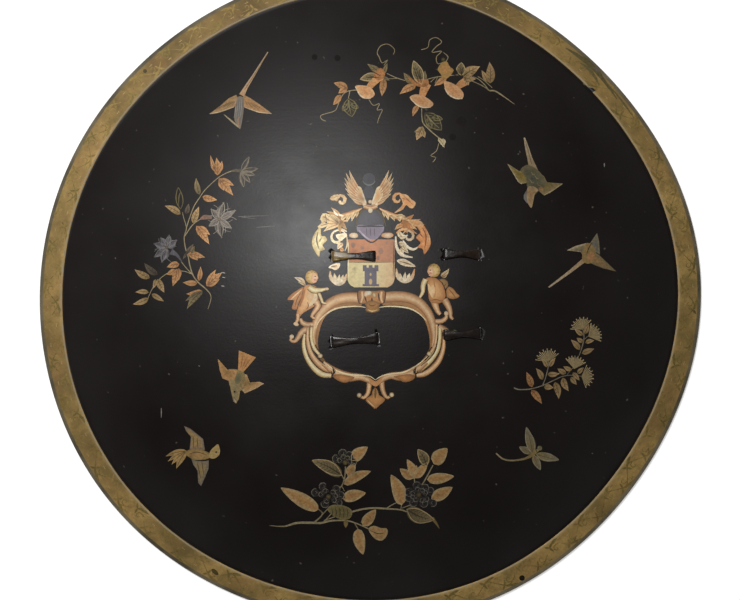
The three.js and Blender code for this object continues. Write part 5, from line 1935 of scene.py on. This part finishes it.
def paint_flowers_top(art):
    """Three trumpet flowers, buds, veins of the dark leaves, and dull spots in the ground."""
    paint_trumpet(art, path(4440, 816, 4487, 819, 4564, 855, 4631, 925, 4625, 984, 4555, 981, 4482, 940,
        4449, 881), path(4652, 816, 4608, 843, 4555, 887), 8, path(4446, 878, 4482, 940, 4555, 984, 4625,
        987))
    paint_trumpet(art, path(4100, 966, 4162, 943, 4247, 966, 4332, 1031, 4305, 1072, 4229, 1072, 4159,
        1039, 4112, 1004), path(4270, 834, 4238, 902, 4217, 981), 9,
        path(4103, 972, 4159, 1042, 4232, 1075, 4308, 1072))
    paint_trumpet(art, path(3552, 863, 3601, 852, 3678, 863, 3725, 893, 3748, 948, 3704, 981, 3631, 975,
        3581, 919), path(3816, 746, 3748, 805, 3678, 887), 9, path(3554, 869, 3587, 931, 3634, 978, 3707,
        984))
    art.blob(path(4376, 690, 4411, 635, 4467, 614, 4496, 664, 4537, 702, 4496, 764, 4446, 787, 4391, 720),
        ("#D99A5E", "#CFA062", "#C39A58"), 4)
    art.disc((443.2, 59.6), 2.2, ("#7C7448", "#4A452E"), 5)
    art.blob(path(4068, 761, 4132, 790, 4212, 790, 4279, 799, 4285, 849, 4217, 872, 4129, 840),
        ("#D6935A", "#C98C54"), 5)
    art.blob(path(3733, 734, 3804, 679, 3851, 726, 3830, 784, 3769, 799), ("#DE9A60", "#CF9058"), 5)
    for base, tip in (path(4599, 775, 4555, 687), path(4608, 775, 4628, 673), path(4599, 790, 4687, 717),
            path(4584, 761, 4526, 746), path(4173, 834, 4085, 746), path(4188, 825, 4138, 673),
            path(4212, 825, 4191, 702), path(3807, 761, 3704, 702), path(3792, 775, 3660, 775)):
        art.line([base, tip], (0.4, 0.9, 0.4), "#2A2114", 6)
    for base, tip, width in (
        ((348.4, 98.4), (351.9, 116.6), 15), ((425, 113), (441.7, 130.1), 15),
        ((350.6, 103.9), (358.4, 108), 6), ((347.8, 103.9), (342.5, 110.7), 6),
        ((432, 117.1), (442.6, 119.2), 6), ((427, 118.6), (430.8, 128.9), 6),
    ):
        art.leaf(base, tip, width, ("#3A3428", "#4A4230"), 0.04, "#8F8358", 3)
        art.outline_leaf(base, tip, width, "#8F8358", 5)
        art.side_veins(base, tip, width, "#7A704A")
    for centre, radius in (((461.4, 121.5), 6.6), ((452.6, 136.9), 4.4), ((314.5, 57), 3.8),
            ((337.5, 58), 4)):
        art.disc(centre, radius * 0.8, ("#120C0A", "#191210"), 0, DULL)


def paint_flowers_bottom(art):
    """Three rosettes in grey, with the cup and the buds below them."""
    for centre, tips, edge in (
        ((328.4, 496.7), path(3210, 4832, 3108, 4911, 3391, 4865, 3447, 4949, 3416, 5052, 3238, 5064),
         "#857C6A"),
        ((418.7, 494.9), path(4161, 4824, 4271, 4855, 4342, 4898, 4376, 5054, 4258, 5064, 4118, 5054,
         4057, 4988, 4054, 4911), "#827A70"),
        ((345.2, 462.6), path(3330, 4574, 3416, 4498, 3508, 4529, 3554, 4613), "#837B62"),
    ):
        paint_rosette(art, centre, tips, edge)
    art.blob(path(3273, 5090, 3327, 5049, 3429, 5054, 3508, 5090, 3521, 5141, 3493, 5187, 3416, 5194,
        3327, 5154), ("#8F8152", "#7B6E44", "#97885A"), 5)
    for place in (560, 590, 620, 650, 680):
        x = 260 + place / 7.84
        art.line([(x, 507.5), (x + 1.2, 513), (x, 518)], (0.3, 0.8, 0.3), "#3A331E", 6)
    art.leaf((346, 519.7), (345.7, 528.1), 4.4, ("#9A8450", "#B59A60"), 0, None, 4)
    art.blob(path(3684, 5296, 3735, 5258, 3812, 5281, 3868, 5286, 3873, 5345, 3822, 5404, 3748, 5386),
        LEAF_TONES["glow"][0], 4)
    art.line(path(3699, 5302, 3773, 5335, 3837, 5332), (0.3, 0.9, 0.3), "#3A2B1A", 5)
    art.stroke(path(4322, 5179, 4360, 5230, 4393, 5284), (3.4, 2.4, 0.6), "#8F7A48", 4)


def paint_spray_left(art):
    paint_spray(art, LEFT_STEMS, LEFT_LEAVES, STEM_GOLD, 0.75)
    paint_flowers_left(art)


def paint_spray_top(art):
    paint_spray(art, TOP_STEMS, TOP_LEAVES, STEM_GOLD, 0.85)
    paint_flowers_top(art)


def paint_spray_bottom(art):
    paint_spray(art, BOTTOM_STEMS, BOTTOM_LEAVES, STEM_GOLD)
    paint_flowers_bottom(art)


def paint_spray_right(art):
    paint_spray(art, RIGHT_STEMS, RIGHT_LEAVES, DUSTY_GOLD, 0.75)
    for base, radius, start, end in (
        ((548.3, 361.5), 13, -172, -38), ((582.9, 329.4), 12.5, -178, -50),
        ((588.4, 336.5), 13.5, -78, 20), ((574.1, 368.9), 13.4, -128, -30),
        ((581.5, 376.3), 12.4, -64, 68),
    ):
        paint_fan(art, base, radius, start, end, ("#8C7B55", "#BBA67C"))


class SHIELD_OT_sprays(bpy.types.Operator):
    """Paint the four sprays of leaves and flowers"""

    bl_idname = "shield.sprays"
    bl_label = "Sprays"

    def execute(self, context):
        paint_piece("painted_spray_left", 21, paint_spray_left)
        paint_piece("painted_spray_top", 22, paint_spray_top)
        paint_piece("painted_spray_bottom", 23, paint_spray_bottom)
        paint_piece("painted_spray_right", 24, paint_spray_right)
        return {"FINISHED"}


class SHIELD_OT_birds(bpy.types.Operator):
    """Paint the five birds and the dragonfly"""

    bl_idname = "shield.birds"
    bl_label = "Birds and dragonfly"

    def execute(self, context):
        paint_piece("painted_birds", 31, paint_birds)
        paint_piece("painted_dragonfly", 32, paint_dragonfly)
        return {"FINISHED"}


# Border and wear


def paint_border_scroll(art):
    """A pale line painted as the highlight along the border's raised step, and a running scroll round the
    border, in worn gold that hardly stands out.
    """
    length = 2 * math.pi * BORDER_MIDDLE
    # painted highlight: a pale line along the top of the raised step at the border's inner edge
    around = [(length * i / 240, BORDER_INNER + BORDER_HIGHLIGHT_INSET - BORDER_MIDDLE) for i in range(241)]
    art.stroke(around, (1.2, 1.2), "#A39473", 1, LINE, 7.5)
    waves = 104
    half = length / waves
    for i in range(waves):
        start, side = i * half, 1 if i % 2 else -1
        tone = ("#A58A4A", "#968246", "#AC9152")[i % 3]
        crest = (start + half * 0.5, side * 5.4)
        art.stroke([(start, 0), crest, (start + half, 0)], (0.7, 1.1, 0.7), tone, 0)
        art.curl((start + half * 0.62, side * 0.3), 3.5, 60 * side, 300 * side, (0.9, 0.8, 0.5), tone, 1)
        art.leaf(crest, (start + half * 0.98, side * 7.4), 2.6, tone, 0.1 * side, None, 1)
        for reach, height in ((0.08, 7.6), (0.4, -1.2), (0.66, 7.8)):
            art.leaf((start + half * 0.3, side * 4.2), (start + half * reach, side * height), 2, tone, 0,
                None, 1)
        art.stroke([(start + half * 0.7, side * 3.4), (start + half * 0.96, side * 3)], 0.7, "#A88E58", 1)
        art.curl((start + half * 0.04, -side * 4.6), 2.4, 200 * side, 220 * side, (0.7, 0.6, 0.4), tone,
            1)
        art.curl((start + half * 0.5, -side * 4.4), 2.3, 20 * side, 240 * side, (0.6, 0.7, 0.3),
            "#CDB074", 1)


def paint_border_wear(art):
    """Darker olive streaks at the upper right of the border, dark blotches, small losses of the gold, and
    the hollow at the upper right.
    """
    for points, widths, colour in (
        (path(5660, 480, 5770, 550, 5880, 630, 5980, 730, 6080, 860, 6170, 990),
         (1, 3.4, 4.6, 4.2, 2.6, 0.8), "#786C42"),
        (path(5800, 630, 5880, 680, 5950, 770, 5990, 850), (0.8, 3, 2.6, 0.6), "#7F7246"),
        (path(5840, 570, 5950, 660, 6020, 750), (0.6, 2.2, 0.6), "#6A5F3A"),
        (path(6060, 820, 6220, 1010, 6340, 1180), (0.5, 1.6, 0.5), "#84764A"),
    ):
        art.stroke(points, widths, colour, 2)
    for place, radii, colour in (((522, 578), 2.8, "#2A2318"), ((215, 572), (4.4, 2.2), "#6A5A32"),
            ((145, 71), 2, "#5E5230")):
        art.disc(place, radii, colour, 2, GOLD, 42)
    art.disc((597, 69.5), (3.6, 2), ("#85796A", "#7A6E5C"), 3, GOLD, 42)
    notch = path(5830, 846, 5876, 870, 5932, 880, 5958, 903, 5927, 924, 5880, 900)
    art.blob(notch, "#0B0908", 5, LINE, smooth_rim=False)
    art.stroke(path(5830, 836, 5880, 858, 5930, 862), 1.2, "#8F8062", 6)


def paint_ground_wear(art):
    """Scratches, specks and scuffs in the black ground."""
    for start, end, width in (
        ((161.3, 408), (161.3, 418), 1), ((239, 216.5), (269, 215.6), 0.4),
        ((256, 227.4), (275, 226), 0.4), ((604.3, 163), (604.4, 167), 1.2), ((591.8, 453), (593, 454), 1),
        ((115, 257.5), (115.8, 259), 1), ((198.6, 365.6), (199.8, 366.6), 0.9),
        ((238, 216.6), (257, 219), 0.4),
    ):
        art.line([start, end], width, "#8C877F", 1)


# Operators


class SHIELD_OT_shell(bpy.types.Operator):
    """Build the lacquered hide shell with its slits"""

    bl_idname = "shield.shell"
    bl_label = "Shell"

    def execute(self, context):
        sizes, colours = settings()
        bm = bmesh.new()
        spin_profile(bm, shell_profile(sizes.ring_step / MM), False, sizes.turn_steps)
        material = lacquer_material(colours)
        shell = finish_piece("shell", bm, [material], ["shield_body"])
        cut_slits(shell)
        return {"FINISHED"}


class SHIELD_OT_border(bpy.types.Operator):
    """Build the gilding of the border, its scroll and its line of painted highlight, and the wear of border
    and ground
    """

    bl_idname = "shield.border"
    bl_label = "Border"

    def execute(self, context):
        sizes, colours = settings()
        bm = bmesh.new()
        outer = border_profile()[:-2]
        lift = sizes.film_lift / MM
        skin = [(radius + lift * 0.3, z + lift) for radius, z in outer]
        back = [(radius - 0.2, z - 0.25) for radius, z in reversed(outer)]
        spin_profile(bm, skin + back, True, sizes.turn_steps)
        for face in bm.faces:
            middle = face.calc_center_median()
            face.material_index = int(round_radius(middle.x, middle.y) > EDGE_TOP - RUBBED_WIDTH)
        materials = [gilding_material(colours), rubbed_edge_material()]
        finish_piece("border_gilding", bm, materials)
        paint_piece("painted_border_scroll", 11, paint_border_scroll, on_border)
        paint_piece("painted_border_wear", 12, paint_border_wear)
        paint_piece("painted_ground_wear", 13, paint_ground_wear)
        return {"FINISHED"}


class SHIELD_OT_thongs(bpy.types.Operator):
    """Build the four thongs, each a closed loop through its two slits"""

    bl_idname = "shield.thongs"
    bl_label = "Thongs"

    def execute(self, context):
        colours = settings()[1]
        material = leather_material("thong_leather", colours.thong, 0.3, 1.6)
        painted = leather_material("painted_thong_leather", colours.thong, 0.3, 1.6, PAINTED_THONG_END)
        for crease, (name, thong) in enumerate(THONGS.items()):
            bm = bmesh.new()
            sweep(bm, thong_rings(thong, crease * 1.7), True)
            leather = painted if name == PAINTED_THONG else material
            finish_piece(name.replace("thong", "strap_thong"), bm, [leather], [name])
        return {"FINISHED"}


class SHIELD_OT_grips(bpy.types.Operator):
    """Build the two hand grips, folded round their bars and stitched"""

    bl_idname = "shield.grips"
    bl_label = "Grips"

    def execute(self, context):
        sizes, colours = settings()
        leather = leather_material("grip_leather", colours.grip, 0.42, 1.4)
        thread = thread_material(colours)
        for name in GRIPS:
            bm = bmesh.new()
            sweep(bm, grip_rings(name), False)
            finish_piece(name.replace("grip", "grip_strap"), bm, [leather], [name])
            bm = bmesh.new()
            grip_stitches(bm, name, sizes)
            finish_piece(name.replace("grip", "grip_stitches"), bm, [thread])
        return {"FINISHED"}


def area_light(name, power, size, place, aim):
    data = bpy.data.lights.new(name, "AREA")
    data.shape = "DISK"
    data.energy = power
    data.size = size
    lamp = bpy.data.objects.new(name, data)
    lamp.location = place
    lamp.rotation_euler = (aim - place).to_track_quat("-Z", "Y").to_euler()
    lamp.visible_camera = False
    bpy.context.scene.collection.objects.link(lamp)


class SHIELD_OT_stage(bpy.types.Operator):
    """Set up the floor, the lights and the camera"""

    bl_idname = "shield.stage"
    bl_label = "Stage"

    def execute(self, context):
        colours = settings()[1]
        stage = context.scene.shield_stage
        bm = bmesh.new()
        bmesh.ops.create_grid(bm, x_segments=1, y_segments=1, size=FLOOR_REACH)
        mesh = bpy.data.meshes.new("floor")
        bm.to_mesh(mesh)
        bm.free()
        floor = bpy.data.objects.new("floor", mesh)
        context.scene.collection.objects.link(floor)
        material, tree, shader, _ = new_material("floor_white")
        set_inputs(tree, shader, {
            "Base Color": rgba(colours.floor),
            "Roughness": 0.9,
            "Emission Color": (1, 1, 1, 1),
            "Emission Strength": 0.55,
        })
        mesh.materials.append(material)
        floor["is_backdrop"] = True

        aim = Vector((0, 0, DOME_RISE * MM))
        lean, turn = stage.key_lean, stage.key_turn
        direction = Vector((*polar((0, 0), math.sin(lean), turn), math.cos(lean)))
        area_light("key", stage.key_power, stage.key_size, aim + direction * stage.key_distance, aim)
        area_light("fill", stage.fill_power, FILL_SIZE, aim + FILL_PLACE, aim)
        world = bpy.data.worlds.new("room")
        world.use_nodes = True
        background = world.node_tree.nodes["Background"]
        background.inputs["Color"].default_value = (1, 1, 1, 1)
        background.inputs["Strength"].default_value = stage.room_light
        context.scene.world = world

        data = bpy.data.cameras.new("camera")
        data.lens = CAMERA_LENS
        data.sensor_width = CAMERA_SENSOR
        data.clip_start = 0.05
        camera = bpy.data.objects.new("camera", data)
        across = (CAMERA_AIM[0] + MIDDLE[0]) * MM
        up = (CAMERA_AIM[1] + MIDDLE[1]) * MM
        camera.location = (across, up, CAMERA_HEIGHT * MM)
        context.scene.collection.objects.link(camera)
        context.scene.camera = camera
        context.scene.view_settings.view_transform = "Standard"
        context.scene.view_settings.look = "None"
        return {"FINISHED"}


class SHIELD_PT_panel(bpy.types.Panel):
    """Buttons and settings of the shield"""

    bl_idname = "SHIELD_PT_panel"
    bl_label = "Lacquered Round Shield"
    bl_space_type = "VIEW_3D"
    bl_region_type = "UI"
    bl_category = "Shield"

    def draw(self, context):
        for operator in BUILD_ORDER:
            self.layout.operator(operator.bl_idname)
        scene = context.scene
        for group in (scene.shield_sizes, scene.shield_colours, scene.shield_stage):
            box = self.layout.box()
            for name in group.__annotations__:
                box.prop(group, name)


BUILD_ORDER = (
    SHIELD_OT_shell,
    SHIELD_OT_border,
    SHIELD_OT_thongs,
    SHIELD_OT_grips,
    SHIELD_OT_arms,
    SHIELD_OT_strapwork,
    SHIELD_OT_children,
    SHIELD_OT_sprays,
    SHIELD_OT_birds,
    SHIELD_OT_stage,
)
CLASSES = (ShieldSizes, ShieldColours, ShieldStage, *BUILD_ORDER, SHIELD_PT_panel)


def register():
    for cls in CLASSES:
        bpy.utils.register_class(cls)
    bpy.types.Scene.shield_sizes = PointerProperty(type=ShieldSizes)
    bpy.types.Scene.shield_colours = PointerProperty(type=ShieldColours)
    bpy.types.Scene.shield_stage = PointerProperty(type=ShieldStage)


def unregister():
    del bpy.types.Scene.shield_stage
    del bpy.types.Scene.shield_colours
    del bpy.types.Scene.shield_sizes
    for cls in reversed(CLASSES):
        bpy.utils.unregister_class(cls)


def main():
    register()
    for operator in BUILD_ORDER:
        group, name = operator.bl_idname.split(".")
        getattr(getattr(bpy.ops, group), name)()
    final_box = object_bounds()
    boxes = {"cad": CAD_BOX, "visual": final_box}
    {name: [list(corner) for corner in box] for name, box in boxes.items()}


if __name__ == "__main__":
    main()
